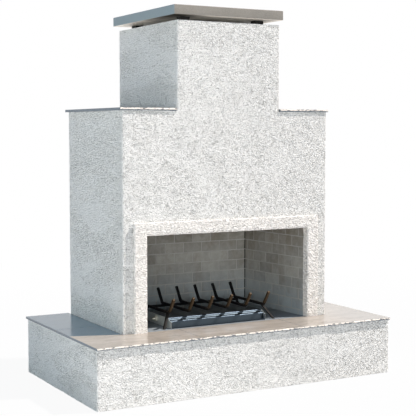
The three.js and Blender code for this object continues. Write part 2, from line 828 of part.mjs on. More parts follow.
function logGrate() {
  const lean = (fingerLean * Math.PI) / 180;
  const tip = [fingerLength * Math.sin(lean), fingerLength * Math.cos(lean)];
  const barLine = [
    [-tip[0], tip[1]],
    [0, 0],
    [grateRun, 0],
    [grateRun + tip[0], tip[1]],
  ];
  const profile = strip(bend(barLine, grateBendRadius), grateBarWidth);
  const bars = Array.from({ length: grateBars }, (_, i) => {
    const bar = piece("grate_bar_" + (i + 1), runAcross(profile, [-halfBar, halfBar]), "blackSteel");
    bar.position.set(i * gratePitch - grateSpread, 0, grateHeight);
    return bar;
  });
  const crossReach = grateSpread + grateBarWidth;
  const crossRise = [underBars - grateBarWidth, underBars];
  const crossBar = block([-crossReach, crossReach], [crossBarY - halfBar, crossBarY + halfBar], crossRise);
  const leg = (name, [x, y], height, [outward, along]) => {
    const upright = block([-halfBar, halfBar], [-halfBar, halfBar], [0, height]);
    const rake = new THREE.Vector3(-outward / height, -along / height, 1);
    const raked = new THREE.Matrix4().makeBasis(toX, toY, rake);
    const mesh = piece(name, upright.applyMatrix4(raked), "blackSteel");
    mesh.position.set(x + outward, y + along, seam);
    return mesh;
  };
  // A front leg leans out past the end of the pan, so its top stands where the leg clears the pan's top edge.
  const frontHeight = underBars - seam;
  const outByPanTop = legSplay * (1 - (panHeight - seam) / frontHeight);
  const frontTop = halfPan - panShift + legClearance + halfBar - outByPanTop;
  const backTop = grateSpread + halfBar;
  const backHeight = underBars - grateBarWidth - 2 * seam;
  const legs = bothSides((side, word) => {
    const name = (row) => "grate_leg_" + row + "_" + word;
    const out = side * legSplay;
    return [
      leg(name("front"), [side * frontTop, grateBendRadius], frontHeight, [out, -frontLegRake]),
      leg(name("back"), [side * backTop, crossBarY], backHeight, [out, backLegRake]),
    ];
  });
  const grate = assembly(...bars, piece("grate_cross_bar", crossBar, "blackSteel"), ...legs);
  grate.position.set(grateOffset, fireboxFront + grateSetback, floorTop);
  return grate;
}

// Burner: a folded pan over the gas tube, fed through a fitting on its left. Its front is folded into a lip, a
// trough and two steps. Its group stands on the firebox floor with Y from the pan's lip.

function burner() {
  const halfSheet = panSheet / 2;
  const foot = halfSheet + seam;
  const top = panHeight - halfSheet;
  const stepHeight = panHeight * panStepShare;
  const lowerEdge = panTrough + panStepRun;
  const upperFoot = lowerEdge + panShelfRun;
  const upperEdge = upperFoot + panStepRun;
  const fold = bend(
    [
      [halfSheet, panLip],
      [halfSheet, foot],
      [panTrough, foot],
      [lowerEdge, stepHeight],
      [upperFoot, stepHeight + panShelfRise],
      [upperEdge, top],
      [panDepth - halfSheet, top],
      [panDepth - halfSheet, foot - halfSheet],
    ],
    panBend,
  );
  const horn = panHeight * panHornShare;
  const endPlate = outline([
    [0, seam],
    [panDepth, seam],
    [panDepth, panHeight - panBend],
    [panDepth - panBend, panHeight],
    [upperEdge, panHeight],
    [lowerEdge, stepHeight + halfSheet],
    [0, horn],
  ]);
  const ends = bothSides((side) => runAcross(endPlate, spanOn(side, halfPan - panSheet, halfPan)));
  const tubeSetback = panDepth * tubeSetbackShare;
  const tubeAxisHeight = panHeight * tubeHeightShare;
  const rod = (radius, [start, end], facets = tubeFacets) =>
    new THREE.CylinderGeometry(radius, radius, end - start, facets).translate(0, (start + end) / 2, 0);
  const onAxis = (geometry) =>
    geometry.rotateZ(-Math.PI / 2).translate(0, tubeSetback, tubeAxisHeight);
  const rOut = tubeDiameter / 2;
  const rIn = rOut - tubeWall;
  const hole = onAxis(rod(rOut + tubeHoleGap, [-halfPan - overrun, -halfPan + panSheet + overrun]));
  const pan = cut(join(runAcross(strip(fold, panSheet), [-halfPan, halfPan]), ...ends), hole);
  const tubeStart = -halfPan - tubeStickOut;
  const tubeEnd = halfPan - panSheet - seam;
  const tubeSection = [
    [0, tubeEnd],
    [0, tubeEnd - tubeWall],
    [rIn, tubeEnd - tubeWall],
    [rIn, tubeStart],
    [rOut, tubeStart],
    [rOut, tubeEnd],
    [0, tubeEnd],
  ].map(([r, along]) => new THREE.Vector2(r, along));
  const tube = onAxis(new THREE.LatheGeometry(tubeSection, tubeFacets));
  const hexStart = tubeStart - hexLength;
  const nippleStart = hexStart - nippleLength;
  const hex = rod(hexAcross / Math.sqrt(3), [hexStart, -halfPan - seam], hexSides);
  const nipple = rod(nippleDiameter / 2, [nippleStart, tubeStart - seam]);
  const socket = rod(rOut + seam, [tubeStart - seam, -halfPan + overrun]);
  const bore = rod(nippleBore / 2, [nippleStart - overrun, tubeStart]);
  const inlet = onAxis(cut(join(hex, nipple), socket, bore));
  const group = assembly(
    piece("burner_pan", pan, "stainless"),
    piece("burner_tube", tube, "stainless"),
    piece("gas_inlet", inlet, "brass"),
  );
  group.position.set(grateOffset + panShift, panFront, floorTop);
  return group;
}

const fireplace = assembly(
  hearthPlinth(),
  hearthTiles(),
  towerFrame(),
  towerBoards(),
  towerStucco(),
  fireboxSurround(),
  shoulderTiles(),
  chimneyTop(),
  fireboxLining(),
  fireboxShell(),
  smokePath(),
  logGrate(),
  burner(),
);

// The parts above count Y from the plinth's front, and the origin is under the middle of the whole.
const frontReach = Math.min(-hearthTileFront, towerSetback - capFront);
const backReach = Math.max(hearthDepth + hearthTileBack, towerBack + capBack, towerBack + shoulderTileBack);
fireplace.position.y = -(frontReach + backReach) / 2;
const model = assembly(fireplace);

export default model;
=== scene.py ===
"""Dresses the outdoor fireplace: stuccoed tower and plinth, hewn tiles, brick firebox, grate and burner.

Every length is in metres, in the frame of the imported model. The firebox faces -Y and Z is up.
"""

from __future__ import annotations

import functools
import logging
import math
import random
from dataclasses import dataclass, field, replace
from enum import Enum
from typing import Callable, Iterable, Mapping, Sequence, Union

import bmesh
import bpy
from mathutils import Matrix, Vector, noise

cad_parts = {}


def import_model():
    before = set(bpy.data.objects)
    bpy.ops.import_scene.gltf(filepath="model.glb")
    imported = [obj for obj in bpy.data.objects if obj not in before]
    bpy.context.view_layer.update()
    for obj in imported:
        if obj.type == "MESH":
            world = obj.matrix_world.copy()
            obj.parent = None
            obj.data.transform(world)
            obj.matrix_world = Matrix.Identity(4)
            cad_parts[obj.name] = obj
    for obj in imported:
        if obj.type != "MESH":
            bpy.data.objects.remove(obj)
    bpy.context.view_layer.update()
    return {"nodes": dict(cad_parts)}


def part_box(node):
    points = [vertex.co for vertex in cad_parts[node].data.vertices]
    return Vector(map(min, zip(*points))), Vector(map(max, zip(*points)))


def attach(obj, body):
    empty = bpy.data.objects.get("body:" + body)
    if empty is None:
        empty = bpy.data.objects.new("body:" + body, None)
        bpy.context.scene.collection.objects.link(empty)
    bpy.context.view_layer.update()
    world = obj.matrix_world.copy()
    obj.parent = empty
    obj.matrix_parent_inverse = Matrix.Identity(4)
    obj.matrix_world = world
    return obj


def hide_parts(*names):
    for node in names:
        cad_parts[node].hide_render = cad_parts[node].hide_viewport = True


LOG = logging.getLogger("fireplace")
BODY = "root"
GRATE_BARS = range(1, 7)
X, Y, Z = 0, 1, 2
# Places closer than this are the same place.
MERGE = 1e-5
# A face looks along an axis, and an edge runs along one, if this share of its normal or its run does.
STEEP = 0.5
ALONG_SHARE = 0.9
# Radians between two faces past which their edge is a corner.
CORNER_ANGLE = 1.0
# Numbers of a Mix node's sockets for colours.
MIX_COLOUR_A, MIX_COLOUR_B, MIX_COLOUR_OUT = 6, 7, 2
# Part of a noise's values that makes soft clouds, the value it swings round, and a turn off every axis.
SOFT_REACH = (0.3, 0.7)
NOISE_MIDDLE = 0.5
ASKEW_TURN = (0.5, 0.35, 0.6)
WHITE = (1.0, 1.0, 1.0, 1.0)
# The rule by which a screen's colour becomes a linear one.
SCREEN_KNEE, SCREEN_SLOPE, SCREEN_OFFSET, SCREEN_POWER = 0.04045, 12.92, 0.055, 2.4

Span = tuple[float, float]
Triple = tuple[float, float, float]
Colour = tuple[float, float, float, float]
Mesh = bmesh.types.BMesh
Face = bmesh.types.BMFace
Edge = bmesh.types.BMEdge
Vert = bmesh.types.BMVert
FaceTest = Callable[[Face], bool]


def linear(code: str) -> Colour:
    """Turns a colour written as #rrggbb into the linear one that shaders take.

    Args:
        code: the colour as it looks on screen.

    Returns:
        Red, green, blue and an alpha of 1.
    """
    linear_channels = []
    for start in (1, 3, 5):
        shown = int(code[start : start + 2], 16) / 255
        curved = ((shown + SCREEN_OFFSET) / (1.0 + SCREEN_OFFSET)) ** SCREEN_POWER
        linear_channels.append(curved if shown > SCREEN_KNEE else shown / SCREEN_SLOPE)
    return (*linear_channels, 1.0)


class Wire:
    """A shader socket that takes part in Python sums."""

    def __init__(self, board: NodeBoard, socket: bpy.types.NodeSocket) -> None:
        """Keeps the socket with the board that it is on."""
        self.board = board
        self.socket = socket

    def _math(self, operation: str, first: Number, second: Number = 0.0) -> Wire:
        """Adds a Math node and gives its result."""
        return self.board.wire("ShaderNodeMath", {"operation": operation}, {0: first, 1: second})

    def __add__(self, other: Number) -> Wire:
        """Adds."""
        return self._math("ADD", self, other)

    def __radd__(self, other: float) -> Wire:
        """Adds this to a number."""
        return self._math("ADD", other, self)

    def __sub__(self, other: Number) -> Wire:
        """Subtracts."""
        return self._math("SUBTRACT", self, other)

    def __rsub__(self, other: float) -> Wire:
        """Subtracts this from a number."""
        return self._math("SUBTRACT", other, self)

    def __mul__(self, other: Number) -> Wire:
        """Multiplies."""
        return self._math("MULTIPLY", self, other)

    def __rmul__(self, other: float) -> Wire:
        """Multiplies a number by this."""
        return self._math("MULTIPLY", other, self)

    def __abs__(self) -> Wire:
        """Drops the sign."""
        return self._math("ABSOLUTE", self)

    def step(self, low: float, high: float, start: float = 0.0, end: float = 1.0) -> Wire:
        """Runs smoothly from start to end while this runs from low to high."""
        sockets = {"Value": self, "From Min": low, "From Max": high, "To Min": start, "To Max": end}
        return self.board.wire("ShaderNodeMapRange", {"interpolation_type": "SMOOTHSTEP"}, sockets)

    def fall(self, low: float, high: float, start: float = 1.0, end: float = 0.0) -> Wire:
        """Runs as step does, but downwards, from 1 to 0 if nothing else is given."""
        return self.step(low, high, start, end)


Number = Union[Wire, float]
Setting = Union[Wire, float, Triple, Colour]
Paint = Union[Wire, str]
Axes = tuple[Wire, Wire, Wire]


@dataclass(frozen=True)
class Grain:
    """A cloudy noise in the object's own metres.

    Attributes:
        scale: features per metre.
        detail: octaves.
        rough: weight of the finer octaves.
        twist: how far the pattern is distorted.
        reach: the values that are read as 0 and 1, or nothing to leave the noise as it is.
        stretch: factors on the place along each axis, or nothing.
        askew: also turns the place, so that no wall lies along the lattice of the noise.
    """

    scale: float
    detail: float = 2.0
    rough: float = 0.5
    twist: float = 0.0
    reach: Span | None = None
    stretch: Triple | None = None
    askew: bool = False

    def finer(self, factor: float) -> Grain:
        """Gives the same noise with its features made finer by a factor."""
        return replace(self, scale=self.scale * factor)


SMUDGES = Grain(11.0, 3.0, 0.6, 0.5, (0.35, 0.7))
MILL_GRAIN = Grain(60.0, 3.0, 0.6)
FINE_GRAIN = Grain(200.0, 3.0, 0.6)
BRUSHING = Grain(420.0, 3.0, 0.6, stretch=(0.04, 1.0, 1.0))


class NodeBoard:
    """The node tree of one material or world."""

    def __init__(self, tree: bpy.types.NodeTree) -> None:
        """Clears the tree and starts on it."""
        self.tree = tree
        tree.nodes.clear()

    def node(
        self,
        kind: str,
        settings: Mapping[str, object] | None = None,
        sockets: Mapping[str | int, Setting] | None = None,
    ) -> bpy.types.Node:
        """Adds a node.

        Args:
            kind: the node's type.
            settings: its options, set first.
            sockets: values or wires of its inputs, by name or by number.

        Returns:
            The node.
        """
        made = self.tree.nodes.new(kind)
        for key, value in (settings or {}).items():
            setattr(made, key, value)
        for key, value in (sockets or {}).items():
            socket = made.inputs[key]
            if isinstance(value, Wire):
                self.tree.links.new(value.socket, socket)
            else:
                socket.default_value = value
        return made

    def wire(
        self,
        kind: str,
        settings: Mapping[str, object] | None = None,
        sockets: Mapping[str | int, Setting] | None = None,
        output: str | int = 0,
    ) -> Wire:
        """Adds a node and gives the wire of one of its outputs."""
        return Wire(self, self.node(kind, settings, sockets).outputs[output])

    @functools.cached_property
    def place(self) -> Wire:
        """Gives the point on the object."""
        return self.wire("ShaderNodeTexCoord", output="Object")

    @functools.cached_property
    def at(self) -> Axes:
        """Gives the point's three coordinates."""
        return self.axes(self.place)

    @functools.cached_property
    def facing(self) -> Axes:
        """Gives the three parts of the surface's own normal."""
        return self.axes(self.wire("ShaderNodeNewGeometry", output="Normal"))

    def axes(self, vector: Wire) -> Axes:
        """Splits a vector into its three parts."""
        parts = self.node("ShaderNodeSeparateXYZ", None, {0: vector}).outputs
        return Wire(self, parts[X]), Wire(self, parts[Y]), Wire(self, parts[Z])

    def grain(self, grain: Grain) -> Wire:
        """Reads a cloudy noise.

        Args:
            grain: its settings.

        Returns:
            A value round the noise's middle, or one from 0 to 1 if the noise has a reach.
        """
        place = self.place
        if grain.askew:
            sockets = {"Vector": place, "Scale": grain.stretch, "Rotation": ASKEW_TURN}
            place = self.wire("ShaderNodeMapping", None, sockets)
        elif grain.stretch:
            sockets = {0: place, 1: grain.stretch}
            place = self.wire("ShaderNodeVectorMath", {"operation": "MULTIPLY"}, sockets)
        sockets = {
            "Vector": place,
            "Scale": grain.scale,
            "Detail": grain.detail,
            "Roughness": grain.rough,
            "Distortion": grain.twist,
        }
        value = self.wire("ShaderNodeTexNoise", None, sockets)
        return value.step(*grain.reach) if grain.reach else value

    def lines(self, grain: Grain, width: Span) -> Wire:
        """Reads thin lines where a noise passes its middle, with a width at which they fade and end."""
        return abs(self.grain(grain) - NOISE_MIDDLE).fall(*width)

    def blend(self, share: Number, first: Paint, second: Paint) -> Wire:
        """Mixes two colours.

        Args:
            share: how much of the second.
            first: a colour's code or its wire.
            second: a colour's code or its wire.

        Returns:
            The mixed colour.
        """
        below, above = (paint if isinstance(paint, Wire) else linear(paint) for paint in (first, second))
        settings = {"data_type": "RGBA", "blend_type": "MIX", "clamp_factor": True}
        sockets = {0: share, MIX_COLOUR_A: below, MIX_COLOUR_B: above}
        return self.wire("ShaderNodeMix", settings, sockets, MIX_COLOUR_OUT)

    def attribute(self, name: str) -> Wire:
        """Reads a number that the piece's faces carry."""
        return self.wire("ShaderNodeAttribute", {"attribute_name": name}, output="Fac")

    def bump(self, height: Wire, depth: float, strength: float) -> Wire:
        """Turns a height from 0 to 1 into a normal, for a relief of a depth, at a share of its strength."""
        return self.wire("ShaderNodeBump", None, {"Strength": strength, "Distance": depth, "Height": height})

    def surface(self, sockets: Mapping[str, Setting]) -> None:
        """Ends the material in one Principled shader with these values and wires."""
        shader = self.wire("ShaderNodeBsdfPrincipled", None, sockets)
        self.node("ShaderNodeOutputMaterial", None, {"Surface": shader})


@dataclass(frozen=True)
class Finish:
    """A finish that becomes one material."""

    name: str

    def paint(self, board: NodeBoard) -> None:
        """Lays the finish out on a node board."""
        raise NotImplementedError


@functools.cache
def material_of(finish: Finish) -> bpy.types.Material:
    """Makes a finish's material once and gives it again after that.

    Args:
        finish: what the surface is.

    Returns:
        The material.
    """
    made = bpy.data.materials.new(finish.name)
    made.use_nodes = True
    finish.paint(NodeBoard(made.node_tree))
    return made


@dataclass(frozen=True)
class Stucco(Finish):
    """Sand-floated stucco with short dragged strokes, and trowelled patches that are left smooth."""

    high: str = "#eeedea"
    # The colour of the painted shade in pits, strokes and cracks.
    low: str = "#7b7d79"
    sandy: str = "#c9c6b8"
    sand: float = 235.0
    grit: Grain = Grain(1.0, 0.0, stretch=(0.75, 0.4, 1.0), askew=True)
    depth: float = 0.0065
    contrast: float = 0.42
    smooth_front: float = 0.15
    smooth_sides: float = 0.6
    pit_reach: Span = (0.3, 0.48)
    strokes: Grain = Grain(70.0, 2.0, 0.6, 0.3, stretch=(0.32, 0.16, 1.0), askew=True)
    stroke_width: Span = (0.008, 0.035)
    breaks: Grain = Grain(56.0, 1.0, reach=(0.5, 0.6))
    patches: Grain = Grain(5.5, 5.0, 0.6, 0.4, stretch=(0.8, 0.35, 1.0), askew=True)
    patch_reach: Span = (0.4, 0.54)
    crack_at: float = 0.45
    crack_width: Span = (0.002, 0.009)
    clouds: Grain = Grain(2.6, 3.0, 0.6, reach=SOFT_REACH)
    side_reach: Span = (0.4, 0.8)
    foot_and_head: Span = (0.45, 1.1)
    head_share: float = 0.55
    sunny_share: float = 0.45
    level: float = 0.6
    pit_depth_share: float = 0.3
    mark_depth_share: float = 0.35
    pit_painted_shade: Span = (0.9, 0.6)
    mark_painted_shade: Span = (0.7, 0.2)
    smooth_painted_shade: Span = (0.08, 0.12)
    cloud_share: float = 0.03
    sandy_share: float = 0.12
    roughness: float = 0.93
    specular: float = 0.1

    def paint(self, board: NodeBoard) -> None:
        """Lays sand, strokes, smooth patches and the cracks at their borders over two tones, with painted
        shade in the pits, strokes and cracks.

        Args:
            board: the material's node board.
        """
        lump = board.grain(self.grit.finer(self.sand))
        pit = lump.fall(*self.pit_reach)
        broken = board.grain(self.breaks)
        patch = board.grain(self.patches)
        zone = patch.step(*self.patch_reach)
        crack = abs(patch - self.crack_at).fall(*self.crack_width) * broken
        side = abs(board.facing[X]).step(*self.side_reach)
        low_down = board.at[Z].fall(*self.foot_and_head, end=self.head_share)
        sunny = board.facing[X].fall(*self.side_reach, end=self.sunny_share)
        kept = side * (self.smooth_sides - self.smooth_front) * low_down * sunny + self.smooth_front
        rough = 1.0 - (1.0 - zone) * kept
        mark = board.lines(self.strokes, self.stroke_width) * broken * rough + crack * kept
        height = self.level + (lump - NOISE_MIDDLE) * rough
        height = height - pit * self.pit_depth_share * rough - mark * self.mark_depth_share
        # Painted shade in hollows: each pair is how much a thing darkens the front, and how much less or
        # more the sides.
        pit_shade, pit_loss = self.pit_painted_shade
        mark_shade, mark_loss = self.mark_painted_shade
        smooth_shade, smooth_gain = self.smooth_painted_shade
        shade = pit * rough * (1.0 - side * pit_loss) * (self.contrast * pit_shade)
        shade = shade + mark * (1.0 - side * mark_loss) * (self.contrast * mark_shade)
        # Smooth patches are darkened to match the rough ground's mean, more so on the sides.
        shade = shade + (1.0 - rough) * (smooth_shade + side * smooth_gain)
        shade = shade + board.grain(self.clouds) * self.cloud_share
        ground = board.blend(zone * side * self.sandy_share, self.high, self.sandy)
        board.surface(
            {
                "Base Color": board.blend(shade, ground, self.low),
                "Roughness": self.roughness,
                "Specular IOR Level": self.specular,
                "Normal": board.bump(height, self.depth, 1.0),
            }
        )


@dataclass(frozen=True)
class Porcelain(Finish):
    """Semi-gloss stone-look porcelain with cloudy tones and long soft veins."""

    light: str = "#b5aca1"
    dark: str = "#9d9489"
    vein: str = "#857a6e"
    # Painted shade: a darker blue-grey on the faces that turn away from the top, which also darkens the foot
    # of a hewn edge.
    body: str = "#66717b"
    painted_wing_shadow: str = "#74929f"
    grey: str = "#949695"
    gloss: float = 0.36
    clouds: Grain = Grain(4.5, 4.0, 0.6, 0.8, (0.32, 0.68), (1.0, 3.4, 1.0))
    streaks: Grain = Grain(9.0, 4.0, 0.6, 0.5, (0.35, 0.7), (1.0, 9.0, 1.0))
    veins: Grain = Grain(3.1, 4.0, 0.55, 1.2, stretch=(1.0, 3.4, 1.0))
    vein_width: Span = (0.0, 0.022)
    specks: Grain = Grain(420.0, reach=(0.35, 0.65))
    waves: Grain = Grain(14.0)
    wing: float = -0.606
    rear: float = -0.24
    slant: float = 0.34
    seam: float = 0.01
    right_reach: Span = (0.5, 0.75)
    edge_reach: Span = SOFT_REACH
    cloud_share: float = 0.65
    streak_share: float = 0.35
    vein_share: float = 0.4
    speck_share: float = 0.06
    painted_reflection_share: float = 0.4
    painted_shadow_share: float = 0.85
    roughness: float = 0.11
    streak_roughness: float = 0.06
    speck_roughness: float = 0.03
    speck_height: float = 0.12
    depth: float = 0.0004
    relief_share: float = 0.5

    def paint(self, board: NodeBoard) -> None:
        """Lays clouds, streaks and veins, a painted reflection that greys the far right, a painted shadow on
        the rear of the left wing, and painted shade on the faces that turn away from the top.

        Args:
            board: the material's node board.
        """
        streak = board.grain(self.streaks)
        speck = board.grain(self.specks)
        tone = board.grain(self.clouds) * self.cloud_share + streak * self.streak_share
        colour = board.blend(tone, self.light, self.dark)
        colour = board.blend(board.lines(self.veins, self.vein_width) * self.vein_share, colour, self.vein)
        colour = board.blend(speck * self.speck_share, colour, self.vein)
        # Painted reflection: the far right is greyed as if it mirrored the pale surroundings.
        colour = board.blend(board.at[X].step(*self.right_reach) * self.painted_reflection_share, colour, self.grey)
        # Painted shadow: the rear of the left wing, behind a line that slants as the sun's shadow does, is
        # tinted cool blue.
        behind = board.at[Y] + (board.at[X] - self.wing) * self.slant - self.rear
        outside = board.at[X].fall(self.wing - self.seam, self.wing + self.seam)
        wing = outside * behind.step(-self.seam, self.seam)
        colour = board.blend(wing * self.painted_shadow_share, colour, self.painted_wing_shadow)
        # Painted shade on the faces that turn away from the top.
        colour = board.blend(board.facing[Z].fall(*self.edge_reach), colour, self.body)
        relief = board.grain(self.waves) + speck * self.speck_height
        board.surface(
            {
                "Base Color": colour,
                "Roughness": self.roughness + streak * self.streak_roughness + speck * self.speck_roughness,
                "Specular IOR Level": self.gloss,
                "Normal": board.bump(relief, self.depth, self.relief_share),
            }
        )


@dataclass(frozen=True)
class HewnEdge(Finish):
    """The split edge of a tile: pale and sandy, chipped, with painted shade in the chips."""

    pale: str = "#ece5dc"
    sandy: str = "#cbb9a6"
    # The colour of the painted shade in the chips.
    chip: str = "#4a4f56"
    sand: Grain = Grain(260.0, 3.0, 0.65)
    chips: Grain = Grain(48.0, 3.0, 0.6, 0.4, (0.5, 0.57), (1.0, 1.0, 2.2))
    sand_share: float = 0.3
    chip_shade_share: float = 0.85
    sand_height: float = 0.6
    chip_height: float = 0.4
    roughness: float = 0.85
    depth: float = 0.002
    relief_share: float = 0.9

    def paint(self, board: NodeBoard) -> None:
        """Lays a pale body with painted shade in the chips.

        Args:
            board: the material's node board.
        """
        sand = board.grain(self.sand)
        chip = board.grain(self.chips)
        colour = board.blend(sand.step(*SOFT_REACH) * self.sand_share, self.pale, self.sandy)
        colour = board.blend(chip * self.chip_shade_share, colour, self.chip)
        height = sand * self.sand_height - chip * self.chip_height
        relief = board.bump(height, self.depth, self.relief_share)
        board.surface({"Base Color": colour, "Roughness": self.roughness, "Normal": relief})


@dataclass(frozen=True)
class Grout(Finish):
    """Cement grout in the joints."""

    dark: str = "#8f867c"
    pale: str = "#a59c91"
    sand: Grain = Grain(700.0, 2.0, 0.6)
    roughness: float = 0.95
    depth: float = 0.0006
    relief_share: float = 0.6

    def paint(self, board: NodeBoard) -> None:
        """Lays a sandy grey.

        Args:
            board: the material's node board.
        """
        sand = board.grain(self.sand)
        tone = board.blend(sand.step(*SOFT_REACH), self.dark, self.pale)
        relief = board.bump(sand, self.depth, self.relief_share)
        board.surface({"Base Color": tone, "Roughness": self.roughness, "Normal": relief})


@dataclass(frozen=True)
class CapStone(Finish):
    """Honed slab, grey on its faces, with painted shade that turns its left face bluer, and a painted
    underside: pale cream as if lit from below, darkening towards its front left corner.
    """

    face: str = "#928e87"
    fleck: str = "#847f78"
    cloud: str = "#a39c93"
    pore: str = "#77716a"
    painted_left_shade: str = "#87989f"
    under: str = "#f3e9dc"
    stain: str = "#3d3831"
    flecks: Grain = Grain(330.0, 3.0, 0.65)
    fleck_reach: Span = (0.35, 0.65)
    clouds: Grain = Grain(7.0, 4.0, 0.6, 0.4, SOFT_REACH)
    pores: Grain = Grain(120.0, reach=(0.66, 0.74))
    turned: Span = (-0.9, -0.5)
    corner: Span = (-0.32, -0.25)
    away_shares: Span = (0.9, 0.4)
    underside_shade_reach: Span = (0.05, 0.24)
    cloud_share: float = 0.22
    pore_share: float = 0.35
    painted_left_share: float = 0.85
    roughness: float = 0.3
    fleck_roughness: float = 0.15
    specular: float = 0.15
    fleck_height: float = 0.7
    pore_height: float = 0.5
    depth: float = 0.0005
    relief_share: float = 0.5

    def paint(self, board: NodeBoard) -> None:
        """Lays flecks, clouds and pores, paints cool shade on the left face, and paints the underside pale,
        with painted shade towards its front left corner.

        Args:
            board: the material's node board.
        """
        fleck = board.grain(self.flecks)
        pore = board.grain(self.pores)
        colour = board.blend(fleck.step(*self.fleck_reach), self.face, self.fleck)
        colour = board.blend(board.grain(self.clouds) * self.cloud_share, colour, self.cloud)
        colour = board.blend(pore * self.pore_share, colour, self.pore)
        # Painted shade: the face that turns left is tinted cool blue as if lit only by the sky.
        shaded_left = board.facing[X].fall(*self.turned, start=self.painted_left_share)
        colour = board.blend(shaded_left, colour, self.painted_left_shade)
        # Painted light and shade on the underside: pale cream as if lit from below, darkening towards the
        # front left corner.
        beside, behind = ((board.at[axis] - self.corner[axis]) * self.away_shares[axis] for axis in (X, Y))
        below = board.blend((beside + behind).step(*self.underside_shade_reach), self.stain, self.under)
        colour = board.blend(board.facing[Z].fall(*self.turned), colour, below)
        relief = fleck * self.fleck_height - pore * self.pore_height
        board.surface(
            {
                "Base Color": colour,
                "Roughness": self.roughness + fleck * self.fleck_roughness,
                "Specular IOR Level": self.specular,
                "Normal": board.bump(relief, self.depth, self.relief_share),
            }
        )


@dataclass(frozen=True)
class FireBrick(Finish):
    """Moulded refractory brick faces, each with its own tone and soot stains, with painted light and shade:
    warm towards the top, cool low down and dark in the back corners.
    """

    pale: str = "#a4a29b"
    deep: str = "#83817b"
    soot_and_warm_light: str = "#706452"
    low_tint: str = "#93a0a8"
    pit: str = "#4e4a45"
    painted_corner_shade: str = "#16150f"
    blotches: Grain = Grain(26.0, 4.0, 0.6, 0.5, SOFT_REACH)
    pits: Grain = Grain(190.0, 3.0, 0.6, reach=(0.6, 0.74))
    stains: Grain = Grain(9.0, 4.0, 0.6, 0.8, (0.45, 0.7), (1.0, 1.0, 0.5))
    low_reach: Span = (0.3, 0.58)
    soot_and_light_reach: Span = (0.6, 0.8)
    back_reach: Span = (0.317, 0.318)
    tone_share: float = 0.6
    blotch_share: float = 0.4
    low_share: float = 0.7
    soot_and_light_shares: Span = (0.25, 0.35)
    stain_share: float = 0.35
    pit_share: float = 0.3
    blotch_height: float = 0.4
    pit_height: float = 0.6
    roughness: float = 0.92
    depth: float = 0.0012
    relief_share: float = 0.8

    def paint(self, board: NodeBoard) -> None:
        """Lays a tone for each brick, blotches, soot stains and pits, painted warm light with soot towards
        the top, painted cool shade low down, and painted shade in the back corners.

        Args:
            board: the material's node board.
        """
        blotch = board.grain(self.blotches)
        pit = board.grain(self.pits)
        rise = board.at[Z]
        tone = board.attribute("tone") * self.tone_share + blotch * self.blotch_share
        colour = board.blend(tone, self.pale, self.deep)
        # Painted shade: the bricks low down are tinted cool blue.
        colour = board.blend(rise.fall(*self.low_reach) * self.low_share, colour, self.low_tint)
        even, patchy = self.soot_and_light_shares
        # Partly soot, partly painted warm light: the top of the walls is toned warm and sooty.
        colour = board.blend(rise.step(*self.soot_and_light_reach) * (even + blotch * patchy), colour, self.soot_and_warm_light)
        colour = board.blend(board.grain(self.stains) * self.stain_share, colour, self.soot_and_warm_light)
        colour = board.blend(pit * self.pit_share, colour, self.pit)
        # Painted shade: near black where the side panels run on behind the back panel's face.
        colour = board.blend(board.at[Y].step(*self.back_reach), colour, self.painted_corner_shade)
        height = blotch * self.blotch_height - pit * self.pit_height
        relief = board.bump(height, self.depth, self.relief_share)
        board.surface({"Base Color": colour, "Roughness": self.roughness, "Normal": relief})


@dataclass(frozen=True)
class Masonry(Finish):
    """Cast or trowelled cement goods: mortar, slabs, boards and the dome."""

    pale: str = "#a09d98"
    deep: str = "#8b8884"
    pit: str = "#57534f"
    scale: float = 60.0
    depth: float = 0.001
    blotches: Grain = Grain(0.2, 4.0, 0.6, 0.5, SOFT_REACH)
    sand: Grain = Grain(6.0, 3.0, 0.6)
    pits: Grain = Grain(2.5, 2.0, 0.6, reach=(0.62, 0.76))
    blotch_share: float = 0.7
    sand_share: float = 0.3
    pit_share: float = 0.25
    sand_height: float = 0.5
    pit_height: float = 0.5
    roughness: float = 0.93
    relief_share: float = 0.7

    def paint(self, board: NodeBoard) -> None:
        """Lays blotches and pits.

        Args:
            board: the material's node board.
        """
        blotch, sand, pit = (
            board.grain(grain.finer(self.scale)) for grain in (self.blotches, self.sand, self.pits)
        )
        colour = board.blend(blotch * self.blotch_share + sand * self.sand_share, self.pale, self.deep)
        colour = board.blend(pit * self.pit_share, colour, self.pit)
        height = sand * self.sand_height - pit * self.pit_height
        relief = board.bump(height, self.depth, self.relief_share)
        board.surface({"Base Color": colour, "Roughness": self.roughness, "Normal": relief})


@dataclass(frozen=True)
class Steel(Finish):
    """Bare, brushed or painted metal."""

    bright: str = "#c8cccf"
    dull: str = "#b4b9bd"
    metallic: float = 1.0
    roughness: float = 0.2
    spread: float = 0.08
    grain: Grain = MILL_GRAIN
    depth: float = 0.0002
    brushed_share: float = 0.6
    smudge_share: float = 0.4
    brushed_roughness: float = 0.5
    relief_share: float = 0.6

    def paint(self, board: NodeBoard) -> None:
        """Lays the grain of the metal and smudges.

        Args:
            board: the material's node board.
        """
        brushed = board.grain(self.grain)
        smudge = board.grain(SMUDGES)
        tone = brushed.step(*SOFT_REACH) * self.brushed_share + smudge * self.smudge_share
        rough = self.roughness + smudge * self.spread + brushed * self.spread * self.brushed_roughness
        board.surface(
            {
                "Base Color": board.blend(tone, self.bright, self.dull),
                "Metallic": self.metallic,
                "Roughness": rough,
                "Normal": board.bump(brushed, self.depth, self.relief_share),
            }
        )


